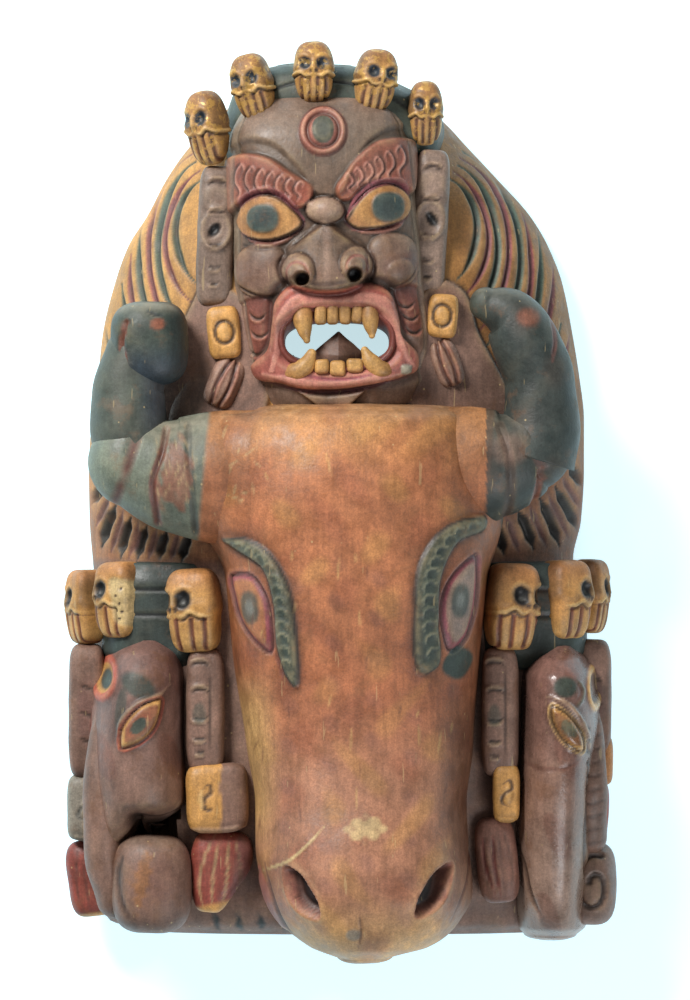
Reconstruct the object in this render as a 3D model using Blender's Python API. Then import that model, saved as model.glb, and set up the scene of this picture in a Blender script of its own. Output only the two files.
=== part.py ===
"""A carved wooden mask that lies on its back: one block of wood, hollowed behind, with a hole through the mouth.

A wrathful three-eyed face under a crown of five skulls rises above a horned bull's head.
An elephant's head with its own small skull crown stands on each side of the bull's muzzle.

Frame: metres, +X to the mask's right as it is looked at, +Y to its crown, +Z out of its face.
The flat back rim lies on Z = 0, and the origin is under the middle of the outline.
"""

import math

import bpy
import numpy as np

# Driving dimensions, in metres
MASK_LENGTH = 0.612
WALL = 0.022
RIM = 0.024
DEEP_SIDE = 0.030
DEEP_WALL = 0.042
GROOVE_WIDTH = 0.0044
GROOVE_DEPTH = 0.0036
TOOTH_DEPTH = 0.012

# The carving is laid out on a plan that is PLAN_LENGTH units long, so one unit is UNIT metres
PLAN_LENGTH = 610.5
UNIT = MASK_LENGTH / PLAN_LENGTH
# The middle of the outline on the plan, which is brought to the origin
PLAN_MIDDLE = (0.2, 1.25, 0.0)

# The half log: place along the mask, left edge, right edge, crest height
LOG = [
    (-291, -128, 140, 46), (-284, -156, 166, 62), (-262, -166, 171, 74), (-200, -169, 172, 86),
    (-106, -169, 168, 90), (-60, -166, 162, 92), (-39, -167.7, 158, 94), (-13, -169.7, 163.3, 96),
    (21, -170.3, 165.3, 98), (55, -168.3, 165.3, 98), (85, -164, 162, 98), (114, -160.7, 157.3, 98),
    (147, -152.7, 150.7, 96), (173, -143.3, 140.7, 93), (193, -130.7, 128.7, 89), (217, -118, 107.3, 84),
    (239, -102.7, 86.7, 78), (258, -83, 68.7, 70), (280, -62, 38, 58), (288, -44, 14, 48),
]
LOG_ROUNDNESS = 2.3
# A boss or ridge is this many times as deep as it stands out, so its foot is sunk in the block
BOSS_SINK = 2.4
RIDGE_SINK = 2.0
SHARP_ANGLE = math.radians(38)
FLAT_ANGLE = math.radians(1.5)

# Blocks that stand out of the log: place along, left edge, right edge, front height
UPPER_HEAD = [
    (46, -34, 40, 98), (56, -44, 46, 104), (68, -53, 54, 112), (85, -61, 60, 117), (110, -67, 62, 120),
    (140, -71, 59, 120), (180, -73, 55, 121), (215, -73.5, 50.5, 123), (240, -72, 47, 120),
    (256, -66, 40, 112), (266, -56, 30, 100), (271, -42, 16, 88),
]
HOOD = [
    (205, -76, 60, 92), (225, -78, 64, 96), (250, -78, 70, 100), (268, -74, 62, 100), (283, -66, 34, 96),
    (290, -52, 20, 88), (292, -44, 10, 76),
]
BULL_HEAD = [
    (-304, -2, 36, 138), (-297, -21, 60, 158), (-281, -39, 79, 172), (-262, -50, 87.5, 178),
    (-231, -56.5, 86, 174), (-200, -57.5, 85.5, 166), (-166, -62.5, 89.5, 161), (-120, -70, 92.5, 161),
    (-80, -75, 96.5, 163), (-50, -77.5, 99.5, 164), (-30, -82, 101.5, 164), (0, -91, 102, 163),
    (30, -92.5, 99.5, 159), (48, -88, 95, 153), (57, -76, 91, 146), (61, -60, 84, 134),
]
LEFT_SHOULDER = [(40, -121, -40, 88), (62, -117, -40, 90), (100, -101, -40, 90), (146, -90, -40, 86)]
RIGHT_SHOULDER = [(40, 40, 112, 88), (62, 40, 106, 90), (100, 40, 90, 90), (146, 40, 79, 86)]
LEFT_BAND = [(-112, -152, -64, 74), (-100, -160, -64, 84), (-56, -160, -64, 86), (-42, -156, -66, 82)]
RIGHT_BAND = [(-112, 84, 158, 74), (-100, 84, 166, 84), (-56, 84, 166, 86), (-42, 86, 160, 82)]
LEFT_ELEPHANT = [
    (-238, -158, -104, 78), (-229, -168, -101, 96), (-210, -171, -100, 107), (-186, -171.5, -100, 113),
    (-146, -169, -101, 115), (-119, -163, -101, 112), (-103, -155, -103, 103), (-94, -142, -112, 86),
]
RIGHT_ELEPHANT = [
    (-292, 124, 160, 62), (-286, 120, 166, 80), (-262, 117, 168, 96), (-226, 117, 170, 105),
    (-186, 118, 172, 112), (-146, 118.5, 176, 115), (-119, 120, 173, 112), (-107, 126, 168, 102),
    (-98, 136, 160, 84),
]

# Each block's outline, with the height of its sunk foot, its roundness and its counts of facets
BLOCKS = {
    "upper_head": (UPPER_HEAD, 62.0, 3.4, 15, 13),
    "hood": (HOOD, 40.0, 3.0, 9, 6),
    "bull_head": (BULL_HEAD, 60.0, 2.7, 15, 15),
    "left_shoulder": (LEFT_SHOULDER, 30.0, 3.0, 7, 4),
    "right_shoulder": (RIGHT_SHOULDER, 31.0, 3.0, 7, 4),
    "left_band": (LEFT_BAND, 20.0, 3.0, 7, 3),
    "right_band": (RIGHT_BAND, 19.0, 3.0, 7, 3),
    "left_elephant": (LEFT_ELEPHANT, 24.0, 2.4, 11, 11),
    "right_elephant": (RIGHT_ELEPHANT, 24.0, 2.4, 11, 12),
}

# Each hollow's outer form and roundness, its side and front walls, its reach along, and its facets
HOLLOWS = {
    "log_hollow": (LOG, LOG_ROUNDNESS, RIM, WALL, -267, 264, 11, 10),
    "bull_hollow": (BULL_HEAD, 2.7, DEEP_SIDE, DEEP_WALL, -240, 35, 9, 7),
    "head_hollow": (UPPER_HEAD, 3.4, DEEP_SIDE, WALL, 80, 245, 7, 5),
}
# The hollows' cutters start this far behind the back face
HOLLOW_CLEAR = 2.0

# Ears, ear studs and tassels are pods: middle x, y, z, half width, half length, half depth, tilt in degrees
PODS = {
    "upper_left_ear": (-83, 177, 82, 12.5, 47, 13, -2),
    "upper_right_ear": (60, 184, 82, 12, 51, 13, -3),
    "upper_left_stud": (-77.5, 112.5, 91, 11, 17.5, 11, 5),
    "upper_right_stud": (68.5, 123.5, 91, 10, 14.5, 11, -4),
    "upper_left_tassel": (-77, 79, 91, 11, 17, 9, -24),
    "upper_right_tassel": (71, 92, 91, 9.5, 16, 9, 20),
    "left_near_ear": (-90, -140, 82, 13, 41, 14, 0),
    "left_near_stud": (-82, -198, 84, 21, 23, 14, 2),
    "left_near_tassel": (-80, -248, 78, 21, 28, 13, -6),
    "left_far_ear": (-170, -141, 46, 12.5, 45, 17, 0),
    "left_far_stud": (-172, -206, 44, 11.5, 22, 15, 0),
    "left_far_tassel": (-168, -254, 36, 15.5, 26, 14, 8),
    "right_near_ear": (107, -141, 82, 12.5, 43, 15, 0),
    "right_near_stud": (111, -195, 88, 9, 19, 10, 0),
    "right_near_tassel": (105, -240, 78, 14, 29, 11, 6),
    "right_far_ear": (170, -133, 46, 12.5, 40, 17, 0),
    "right_far_stud": (173, -174, 46, 10.5, 17, 14, 0),
    "right_far_tassel": (170, -213, 42, 10.5, 26, 13, -4),
}
# Rounder pods: the curled ends of the trunks and the blunt tip of the left horn
ROUND_PODS = {
    "left_trunk_curl": (-126, -256, 80, 27, 33, 27, 0),
    "right_trunk_curl": (168, -257, 48, 18, 28, 27, 0),
    "left_horn_tip": (-127, 105, 104, 26, 28, 26, 0),
}
POD_FORM = [(-1.0, 0.5, 0.45), (-0.72, 0.92, 0.9), (0.72, 0.92, 0.9), (1.0, 0.5, 0.45)]

# Round bosses on each block: middle x, y, half width, half length, how far they stand out, tilt
BOSSES = {
    "upper_head": {
        "left_eyeball": (-46, 187.3, 21, 14.5, 8, 0),
        "right_eyeball": (25.8, 194.8, 20, 15, 8, 8),
        "third_eye": (-11.3, 245.3, 14.5, 14.5, 4, 0),
        "left_cheek": (-49, 153, 17, 18, 9, 0),
        "right_cheek": (34, 160, 18, 18, 9, 0),
        "nose_root": (-9.2, 192.3, 11, 9.5, 12, 0),
        "left_nostril_wing": (-25.5, 156, 10, 11, 15, 0),
        "right_nostril_wing": (9.5, 158, 10, 11, 15, 0),
        "chin_tuft": (-4.5, 72, 20, 9, 5, 0),
    },
    "bull_head": {
        "left_bull_eye": (-56, -67, 11, 28, 5, 10),
        "right_bull_eye": (78, -66, 10, 28, 5, -8),
        "left_nostril_rim": (-27, -257, 14, 22, 3, 26),
        "right_nostril_rim": (62, -255, 14, 22, 3, -26),
    },
    "left_elephant": {
        "left_elephant_eye": (-135, -148, 12, 10, 3, 40),
        "left_elephant_brow": (-138, -129, 17, 7, 3, 30),
    },
    "right_elephant": {
        "right_elephant_eye": (151, -152, 9, 10, 3, -30),
        "right_elephant_brow": (145, -136, 13, 7, 3, -30),
    },
}
# Ridges on each block: plan points with their half width and how far they stand out
RIDGES = {
    "upper_head": {
        "left_brow": [(-70, 212, 7, 4), (-58, 219, 11, 6), (-38, 214, 11, 6), (-18, 201, 7, 4)],
        "right_brow": [(3, 203, 7, 4), (18, 218, 11, 6), (33, 227, 12, 6), (45, 222, 9, 4)],
        "nose": [(-9, 184, 9, 9), (-8.5, 170, 14, 15), (-8.5, 157, 15, 21), (-8.5, 148, 12, 18)],
    },
    "bull_head": {
        "left_bull_brow": [
            (-73, -27, 5, 3), (-55, -38, 7.5, 5), (-40, -62, 8, 5), (-33, -92, 7, 5), (-31, -120, 4, 3),
        ],
        "right_bull_brow": [
            (88, -19, 5, 3), (68, -30, 7.5, 5), (56, -55, 8, 5), (54, -85, 7, 5), (58, -112, 4, 3),
        ],
    },
}
# The bull's nostrils: middle x, y, half width, half length, tilt, and how deep they are cut
BULL_NOSTRILS = {"left_nostril": (-24, -258, 8, 17, 26), "right_nostril": (60, -256, 8, 17, -26)}
NOSTRIL_DEPTH = 8

# Skulls: middle x, y, z, half width, half length, turn to the side, tilt in the plan
SKULLS = {
    "crown_1": (-88.5, 249, 90, 13.5, 25, -32, 8),
    "crown_2": (-58, 276, 98, 13.5, 22.5, -18, 12),
    "crown_3": (-17.5, 286, 101, 13.5, 20.5, 0, 0),
    "crown_4": (23.5, 280.5, 98, 14, 21, 12, -8),
    "crown_5": (57, 259, 88, 11.5, 21.5, 6, 0),
    "left_far": (-170, -71, 50, 13, 25, -62, 0),
    "left_mid": (-147, -66, 72, 15, 25.5, -36, 0),
    "left_near": (-97, -73, 86, 17.5, 28, -12, 3),
    "right_near": (114.5, -70.5, 86, 17.5, 29, 14, -3),
    "right_mid": (150, -66, 72, 16, 26.5, 38, 0),
    "right_far": (168, -64, 48, 12, 25, 66, 0),
}
# A skull's own shape in shares of its half length and half width: place, width, depth
SKULL_FORM = [
    (-1.0, 0.62, 0.50), (-0.55, 0.86, 0.85), (-0.12, 0.96, 1.0), (0.2, 1.0, 0.92), (0.58, 0.98, 1.04),
    (1.0, 0.46, 0.50),
]
SOCKET_DEPTH = 0.4

# Horns and trunks: x, y, z and radius along their length
LEFT_HORN_ROOT = [(-50, 14, 102, 37), (-92, 13, 106, 35), (-118, 18, 107, 34), (-137, 26, 107, 30)]
LEFT_HORN = [(-136, 22, 104, 27), (-141, 50, 104, 25), (-141, 72, 104, 24), (-135, 96, 104, 22)]
RIGHT_HORN_ROOT = [(60, 20, 102, 37), (96, 24, 106, 35), (118, 28, 107, 32), (126, 34, 107, 28)]
RIGHT_HORN = [
    (128, 28, 104, 29), (134, 50, 104, 26), (133, 78, 104, 23.5), (124, 104, 106, 23), (111, 125, 108, 18),
    (97, 131, 110, 11),
]
LEFT_TRUNK = [
    (-159, -112, 94, 8), (-161, -150, 96, 11), (-162, -200, 92, 11), (-161, -240, 84, 12), (-152, -266, 76, 12),
]
RIGHT_TRUNK = [(168, -118, 84, 8), (170, -150, 82, 10), (168, -190, 76, 11), (167, -225, 66, 12)]

# Each tube with its counts of facets round it and along it
TUBES = {
    "left_horn_root": (LEFT_HORN_ROOT, 10, 5),
    "right_horn_root": (RIGHT_HORN_ROOT, 10, 5),
    "left_horn": (LEFT_HORN, 9, 5),
    "right_horn": (RIGHT_HORN, 9, 7),
    "left_trunk": (LEFT_TRUNK, 7, 6),
    "right_trunk": (RIGHT_TRUNK, 7, 5),
}

# Hair: where the strands turn, the first strand's half sizes and the step between strands
LEFT_HAIR = {"middle": (-90, 175), "first": (23, 42), "step": (6.8, 9.0), "strands": 8, "side": -1}
RIGHT_HAIR = {"middle": (72.7, 179.3), "first": (19, 34), "step": (7.6, 10.4), "strands": 8, "side": 1}
STRAND_SWEEP = (64, -58)
LEFT_FAN = {"middle": (-100, 67), "angles": (47, 36, 26, 17, 8, -2), "reach": (82, 114), "side": -1}
RIGHT_FAN = {"middle": (93, 77), "angles": (49, 38, 28, 17, 6), "reach": (80, 120), "side": 1}

# The mouth: its middle, the half sizes of the hole and of the lips round it, and the lips' half width
MOUTH_MIDDLE = (-2.0, 108.0)
HOLE_HALF = (35.0, 18.0)
LIP_HALF = (42.0, 26.0)
LIP_SPREAD = 7.0
LIP_RADIUS = 6.5
# How far the lips stand out of the face round them, and how far the teeth stand behind the lips
LIP_PROUD = 2.0
TOOTH_SET_BACK = 1.5
TONGUE_SET_BACK = 6.0
# Each tooth is this much shorter than the one before it, so that no two faces lie in one plane
TOOTH_STEP = 0.3
# Teeth: middle x, y, half width, half length
TEETH = [(-13, 124, 3.6, 7.5), (-5.5, 124, 3.8, 8), (2.5, 124, 3.8, 8), (10, 124.5, 3.6, 7.5),
         (-12.5, 89, 4.8, 5.5), (-2, 88.5, 4.8, 5.5), (8.5, 89, 4.8, 5.5)]
# Fangs: root x, y, tip x, y, root radius
FANGS = [(-23, 128, -21.5, 107, 5), (19, 129, 19, 110, 5), (-29, 85, -20, 101, 5), (27, 86, 17, 100, 5)]
TONGUE = {"apex": (-2, 113), "base": ((-17, 101), (16, 101), (13, 84), (-13, 84))}


def through(table, at):
    """A smooth curve through the rows of a table that never overshoots them: column 0 is the place."""
    table = np.asarray(table, float)
    table = table[np.argsort(table[:, 0])]
    place, value = table[:, 0], table[:, 1:]
    gap = np.diff(place)[:, None]
    rise = np.diff(value, axis=0) / gap
    slope = np.zeros_like(value)
    slope[0], slope[-1] = rise[0], rise[-1]
    same_way = rise[:-1] * rise[1:] > 0
    both = np.where(same_way, rise[:-1] + rise[1:], 1.0)
    slope[1:-1] = np.where(same_way, 2 * rise[:-1] * rise[1:] / both, 0.0)
    at = np.clip(np.asarray(at, float), place[0], place[-1])
    k = np.clip(np.searchsorted(place, at, side="right") - 1, 0, len(place) - 2)
    t = (at - place[k])[:, None] / gap[k]
    return (
        value[k] * (1 + 2 * t) * (1 - t) ** 2 + slope[k] * gap[k] * t * (1 - t) ** 2
        + value[k + 1] * t * t * (3 - 2 * t) + slope[k + 1] * gap[k] * t * t * (t - 1)
    )


def even_rows(table, count):
    """Places along a table's curve, closer together where the block narrows at its ends."""
    places = [row[0] for row in table]
    fine = np.linspace(min(places), max(places), 400)
    curve = through(table, fine)
    length = np.r_[0, np.cumsum(np.hypot(np.diff(fine), 0.8 * np.abs(np.diff(curve, axis=0)).max(axis=1)))]
    return np.interp(np.linspace(0, length[-1], count), length, fine)


def arch(left, right, base, front, roundness, count):
    """Points evenly spaced over a superellipse arch that stands on its base from left to right."""
    angle = np.linspace(0, math.pi, 241)
    cosine, sine = np.cos(angle), np.sin(angle)
    x = (left + right) / 2 - (right - left) / 2 * np.sign(cosine) * np.abs(cosine) ** (2 / roundness)
    z = base + (front - base) * np.abs(sine) ** (2 / roundness)
    length = np.r_[0, np.cumsum(np.hypot(np.diff(x), np.diff(z)))]
    even = np.linspace(0, length[-1], count)
    return np.interp(even, length, x), np.interp(even, length, z)


def arch_rows(table, base, roundness, across, along):
    """The front of a block: one arch for each place along it, as an array of rows of points."""
    rows = []
    for y, (left, right, front) in zip(even_rows(table, along), through(table, even_rows(table, along))):
        x, z = arch(left, right, base, front, roundness, across)
        rows.append(np.stack([x, np.full_like(x, y), z], axis=1))
    return np.array(rows)


def front_height(block_name, points):
    """Height of a block's front, or of the log's, over rows of plan points."""
    table, base, roundness = BLOCKS[block_name][:3] if block_name else (LOG, 0.0, LOG_ROUNDNESS)
    points = np.atleast_2d(np.asarray(points, float))
    left, right, front = through(table, points[:, 1]).T
    share = np.clip(np.abs(points[:, 0] - (left + right) / 2) / ((right - left) / 2), 0, 0.96)
    return base + (front - base) * (1 - share**roundness) ** (1 / roundness)


def make_object(name, points, faces):
    """A mesh object in metres whose triangles look outwards, whichever way its rows were listed."""
    points = (np.asarray(points, float) - PLAN_MIDDLE) * UNIT
    faces = np.asarray(faces)
    a, b, c = (points[faces[:, k]] for k in range(3))
    if np.einsum("ij,ij->", a, np.cross(b, c)) < 0:
        faces = faces[:, ::-1]
    mesh = bpy.data.meshes.new(name)
    mesh.from_pydata(points.tolist(), [], faces.tolist())
    mesh.validate()
    mesh.shade_smooth()
    mesh.set_sharp_from_angle(angle=SHARP_ANGLE)
    thing = bpy.data.objects.new(name, mesh)
    bpy.context.scene.collection.objects.link(thing)
    return thing


def closed_rows(name, rows, tips=(0.0, 0.0)):
    """A closed body from rings of points; each end closes to a middle point, pushed out by its tip."""
    count, around = rows.shape[:2]
    way = rows[-1].mean(axis=0) - rows[0].mean(axis=0)
    way /= np.linalg.norm(way)
    ends = [rows[0].mean(axis=0) - way * tips[0], rows[-1].mean(axis=0) + way * tips[1]]
    points = np.concatenate([rows.reshape(-1, 3), ends])
    first, last = count * around, count * around + 1
    faces = []
    for c in range(around):
        d = (c + 1) % around
        for r in range(count - 1):
            a, b = r * around, (r + 1) * around
            faces += [(a + c, a + d, b + d), (a + c, b + d, b + c)]
        faces += [(a_end + k, a_end + j, tip) for a_end, k, j, tip in (
            (0, d, c, first), ((count - 1) * around, c, d, last))]
    return make_object(name, points, faces)


def turned(points, turn, tilt):
    """Points turned about +Y by turn, then in the plan by tilt, both in degrees."""
    a, b = math.radians(turn), math.radians(tilt)
    about_y = np.array([[math.cos(a), 0, math.sin(a)], [0, 1, 0], [-math.sin(a), 0, math.cos(a)]])
    about_z = np.array([[math.cos(b), -math.sin(b), 0], [math.sin(b), math.cos(b), 0], [0, 0, 1]])
    return points @ (about_z @ about_y).T


def pod_rows(form, half, around, roundness):
    """Rings of a closed superelliptic pod about its own middle, one for each row of its form."""
    rows = []
    for place, wide, deep in form:
        angle = np.linspace(0, 2 * math.pi, around, endpoint=False) + math.pi / 2
        c, s = np.cos(angle), np.sin(angle)
        x = wide * half[0] * np.sign(c) * np.abs(c) ** (2 / roundness)
        z = deep * half[2] * np.sign(s) * np.abs(s) ** (2 / roundness)
        rows.append(np.stack([x, np.full_like(x, place * half[1]), z], axis=1))
    return np.array(rows)


def round_form(count, cut):
    """The form of an ellipsoid whose two ends are cut off at a share of its half length."""
    place = np.sin(np.linspace(-0.5, 0.5, count) * math.pi * cut)
    across = np.sqrt(1 - place**2)
    return np.c_[place / place[-1], across, across]


def pod(name, spec, form=POD_FORM, around=8, roundness=2.6):
    x, y, z, wide, long, deep, tilt = spec
    rows = pod_rows(form, (wide, long, deep), around, roundness)
    return closed_rows(name, turned(rows, 0, tilt) + (x, y, z))


def skull(name, spec):
    """A skull with two eye sockets, a cheek line and a square jaw."""
    x, y, z, wide, long, turn, tilt = spec
    rows = pod_rows(SKULL_FORM, (wide, long, wide), 10, 2.8)
    eye_row = [place for place, _, _ in SKULL_FORM].index(0.2)
    front = rows[eye_row, :, 2]
    level = np.sort(np.unique(front.round(3)))[-2]
    front[np.abs(front - level) < 0.01] -= SOCKET_DEPTH * wide
    return closed_rows(name, turned(rows, turn, tilt) + (x, y, z))


def tube(name, path, around, along, flatten=1.0):
    """A tapering tube along a path; its ends close to a blunt round nose."""
    table = np.array([(k, *row) for k, row in enumerate(path)], float)
    places = np.linspace(0, len(path) - 1, along)
    curve = through(table, places)
    middle, radius = curve[:, :3], curve[:, 3]
    way = np.gradient(middle, axis=0)
    way /= np.linalg.norm(way, axis=1, keepdims=True)
    side = np.cross(way, (0.0, 0.0, 1.0))
    side /= np.linalg.norm(side, axis=1, keepdims=True)
    up = np.cross(side, way)
    angle = np.linspace(0, 2 * math.pi, around, endpoint=False)
    ring = np.cos(angle)[:, None] * side[:, None, :] + flatten * np.sin(angle)[:, None] * up[:, None, :]
    rows = middle[:, None, :] + radius[:, None, None] * ring
    nose = middle[-1] + way[-1] * radius[-1] * np.array([0.55, 0.85])[:, None]
    shares = np.array([0.82, 0.45])
    extra = nose[:, None, :] + (radius[-1] * shares)[:, None, None] * ring[-1][None]
    return closed_rows(name, np.concatenate([rows, extra]))


def groove(name, path):
    """A cutter of triangular section that runs along the log's front and leaves a V-shaped groove."""
    path = np.asarray(path, float)
    height = front_height(None, path)
    way = np.gradient(path, axis=0)
    side = np.stack([-way[:, 1], way[:, 0]], axis=1) / np.linalg.norm(way, axis=1)[:, None]
    half, deep = GROOVE_WIDTH / 2 / UNIT, GROOVE_DEPTH / UNIT
    rise = deep
    corners = [
        np.c_[path - side * half * 2, height + rise],
        np.c_[path + side * half * 2, height + rise],
        np.c_[path, height - deep],
    ]
    cutter = closed_rows(name, np.stack(corners, axis=1))
    return cutter


def hair_paths(hair):
    """Strands above a horn: nested part ellipses around the ear."""
    start, end = (math.radians(a) for a in STRAND_SWEEP)
    angle = np.linspace(start, end, 5)
    for k in range(hair["strands"]):
        half = [first + k * step for first, step in zip(hair["first"], hair["step"])]
        x = hair["middle"][0] + hair["side"] * half[0] * np.cos(angle)
        y = hair["middle"][1] + half[1] * np.sin(angle)
        left, right, _ = through(LOG, y).T
        inside = (x > left + 2) & (x < right - 2)
        if inside.sum() > 2:
            yield np.c_[x, y][inside]


def fan_paths(fan):
    """Strands below a horn: straight strokes that fan out from one point."""
    reach = np.linspace(*fan["reach"], 4)
    for degrees in fan["angles"]:
        angle = math.radians(degrees)
        x = fan["middle"][0] + fan["side"] * reach * math.sin(angle)
        y = fan["middle"][1] - reach * math.cos(angle)
        left, right, _ = through(LOG, y).T
        inside = (x > left + 2) & (x < right - 2)
        if inside.sum() > 1:
            yield np.c_[x, y][inside]


def bosses():
    """Half-sunk round bosses on the fronts of the blocks."""
    for block_name, specs in BOSSES.items():
        for name, (x, y, wide, long, out, tilt) in specs.items():
            deep = out * BOSS_SINK
            sunk = front_height(block_name, (x, y))[0] + out - deep
            yield pod(name, (x, y, sunk, wide, long, deep, tilt), round_form(5, 0.84), 8, 2.0)


def ridges():
    """Half-sunk ridges that follow the fronts of the blocks."""
    for block_name, specs in RIDGES.items():
        for name, path in specs.items():
            path = np.array(path, float)
            deep = path[:, 3] * RIDGE_SINK
            sunk = front_height(block_name, path[:, :2]) + path[:, 3] - deep
            flat = (deep / path[:, 2]).mean()
            yield tube(name, np.c_[path[:, :2], sunk, path[:, 2]], 6, len(path), flat)


def mouth_curve(half, spread, count):
    """A closed curve round the mouth, wider at its lower corners than at the top."""
    angle = np.linspace(0, 2 * math.pi, count, endpoint=False) + math.pi / count
    c, s = np.cos(angle), np.sin(angle)
    y = np.sign(s) * np.abs(s) ** 0.8
    x = (half[0] - spread * y) * np.sign(c) * np.abs(c) ** 0.8
    return np.c_[MOUTH_MIDDLE[0] + x, MOUTH_MIDDLE[1] + half[1] * y]


def lip_front():
    """Height of the front of the lips, which follows the face at the middle of the mouth."""
    return front_height("upper_head", MOUTH_MIDDLE)[0] + LIP_PROUD


def lips():
    """A closed roll of lip round the mouth."""
    ring = mouth_curve(LIP_HALF, LIP_SPREAD, 18)
    way = np.roll(ring, -1, axis=0) - np.roll(ring, 1, axis=0)
    out = np.c_[way[:, 1], -way[:, 0]] / np.linalg.norm(way, axis=1)[:, None]
    around = 7
    angle = np.linspace(0, 2 * math.pi, around, endpoint=False)
    flat = ring[:, None] + LIP_RADIUS * np.cos(angle)[None, :, None] * out[:, None]
    middle = lip_front() - LIP_RADIUS
    height = np.broadcast_to(middle + LIP_RADIUS * np.sin(angle), flat.shape[:2])
    points = np.concatenate([flat, height[..., None]], axis=2).reshape(-1, 3)
    faces = []
    for r in range(len(ring)):
        for c in range(around):
            d = (c + 1) % around
            a, b = r * around, (r + 1) % len(ring) * around
            faces += [(a + c, a + d, b + d), (a + c, b + d, b + c)]
    return make_object("lips", points, faces)


def teeth():
    """Rows of square teeth, four fangs and the folded tongue, which stand in the mouth hole."""
    deep = TOOTH_DEPTH / UNIT
    tooth_front = lip_front() - TOOTH_SET_BACK
    made = []
    for k, (x, y, wide, long) in enumerate(TEETH):
        corners = np.array([(-wide, -long), (wide, -long), (wide, long), (-wide, long)]) + (x, y)
        rows = [np.c_[corners, np.full(4, z)] for z in (tooth_front - deep, tooth_front - TOOTH_STEP * k)]
        made.append(closed_rows(f"tooth_{k}", np.stack(rows)))
    for k, (x, y, tip_x, tip_y, radius) in enumerate(FANGS):
        z = tooth_front - radius
        path = [(x, y, z, radius), ((x + tip_x) / 2, (y + tip_y) / 2, z + 1, radius * 0.8), (tip_x, tip_y, z, 1.4)]
        made.append(tube(f"fang_{k}", path, 6, 4))
    apex, base, front = TONGUE["apex"], np.array(TONGUE["base"], float), lip_front() - TONGUE_SET_BACK
    points = [(x, y, z) for z in (front - 2 * deep, front - deep / 2) for x, y in base]
    points[4:] = [(x, y, front - deep * (0.9 if y > 90 else 0.2)) for x, y in base]
    points.append((apex[0], apex[1] - 6, front))
    faces = [(0, 1, 2), (0, 2, 3)]
    for k in range(4):
        j = (k + 1) % 4
        faces += [(k, k + 4, j + 4), (k, j + 4, j), (k + 4, 8, j + 4)]
    made.append(make_object("tongue", points, faces))
    return made


def hollows():
    """The hollow behind: the log drawn in by its rim and wall, and deeper channels behind the two heads."""
    for name, (table, roundness, side, wall, low, high, across, along) in HOLLOWS.items():
        inner = [
            (y, left + side / UNIT, right - side / UNIT, front - wall / UNIT)
            for y, left, right, front in table
            if low < y < high
        ]
        yield closed_rows(name, arch_rows(inner, -HOLLOW_CLEAR, roundness, across, along))


def mouth_hole():
    """A straight hole through the lips and the wall behind them."""
    ring = mouth_curve(HOLE_HALF, 0.0, 14)
    rows = [np.c_[ring, np.full(len(ring), z)] for z in (20.0, 170.0)]
    return closed_rows("mouth_hole", np.stack(rows))


def boolean(target, operation, tools, name):
    """Adds a Boolean that takes every tool in turn from one collection, and hides the tools."""
    group = bpy.data.collections.new(name)
    bpy.context.scene.collection.children.link(group)
    for tool in tools:
        bpy.context.scene.collection.objects.unlink(tool)
        group.objects.link(tool)
        tool.hide_render = True
        tool.display_type = "WIRE"
    step = target.modifiers.new(name, "BOOLEAN")
    step.operation = operation
    step.operand_type = "COLLECTION"
    step.collection = group
    step.solver = "EXACT"


def wood():
    """Old paint over carved wood, in its overall brown."""
    material = bpy.data.materials.new("painted_wood")
    material.use_nodes = True
    shader = material.node_tree.nodes["Principled BSDF"]
    shader.inputs["Base Color"].default_value = (0.30, 0.15, 0.08, 1)
    shader.inputs["Roughness"].default_value = 0.6
    shader.inputs["Metallic"].default_value = 0.0
    return material


def main():
    for thing in list(bpy.data.objects):
        bpy.data.objects.remove(thing)
    mask = closed_rows("mask", arch_rows(LOG, 0.0, LOG_ROUNDNESS, 17, 20))
    grooves = [groove("strand", path) for side in (LEFT_HAIR, RIGHT_HAIR) for path in hair_paths(side)]
    grooves += [groove("stroke", path) for side in (LEFT_FAN, RIGHT_FAN) for path in fan_paths(side)]
    boolean(mask, "DIFFERENCE", grooves, "hair_grooves")
    raised = [
        closed_rows(name, arch_rows(table, base, roundness, across, along))
        for name, (table, base, roundness, across, along) in BLOCKS.items()
    ]
    raised += [*bosses(), *ridges(), lips()]
    raised += [tube(name, *spec) for name, spec in TUBES.items()]
    raised += [pod(name, spec) for name, spec in PODS.items()]
    raised += [pod(name, spec, round_form(6, 0.84), 9, 2.2) for name, spec in ROUND_PODS.items()]
    raised += [skull(name, spec) for name, spec in SKULLS.items()]
    boolean(mask, "UNION", raised, "raised_carving")
    cuts = [*hollows(), mouth_hole()]
    for name, (x, y, wide, long, tilt) in BULL_NOSTRILS.items():
        middle = front_height("bull_head", (x, y))[0] + NOSTRIL_DEPTH / 2
        cuts.append(pod(name, (x, y, middle, wide, long, 1.5 * NOSTRIL_DEPTH, tilt)))
    boolean(mask, "DIFFERENCE", cuts, "hollow_and_mouth")
    boolean(mask, "UNION", teeth(), "mouth_teeth")
    flatten = mask.modifiers.new("merge_flat_faces", "DECIMATE")
    flatten.decimate_type = "DISSOLVE"
    flatten.angle_limit = FLAT_ANGLE
    mask.data.materials.append(wood())


main()
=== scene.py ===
"""The looks of a carved and painted wooden mask that lies on its back, seen from straight above.

Every piece is a fine carved surface that keeps the form of the solid mask: the same outlines, heads,
horns, ears and skulls, laid out on the same plan, with the finer carving and the old paint on top.
Plan units: +X to the right, +Y to the crown, +Z out of the face; one unit is UNIT metres.
"""

import math

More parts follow.
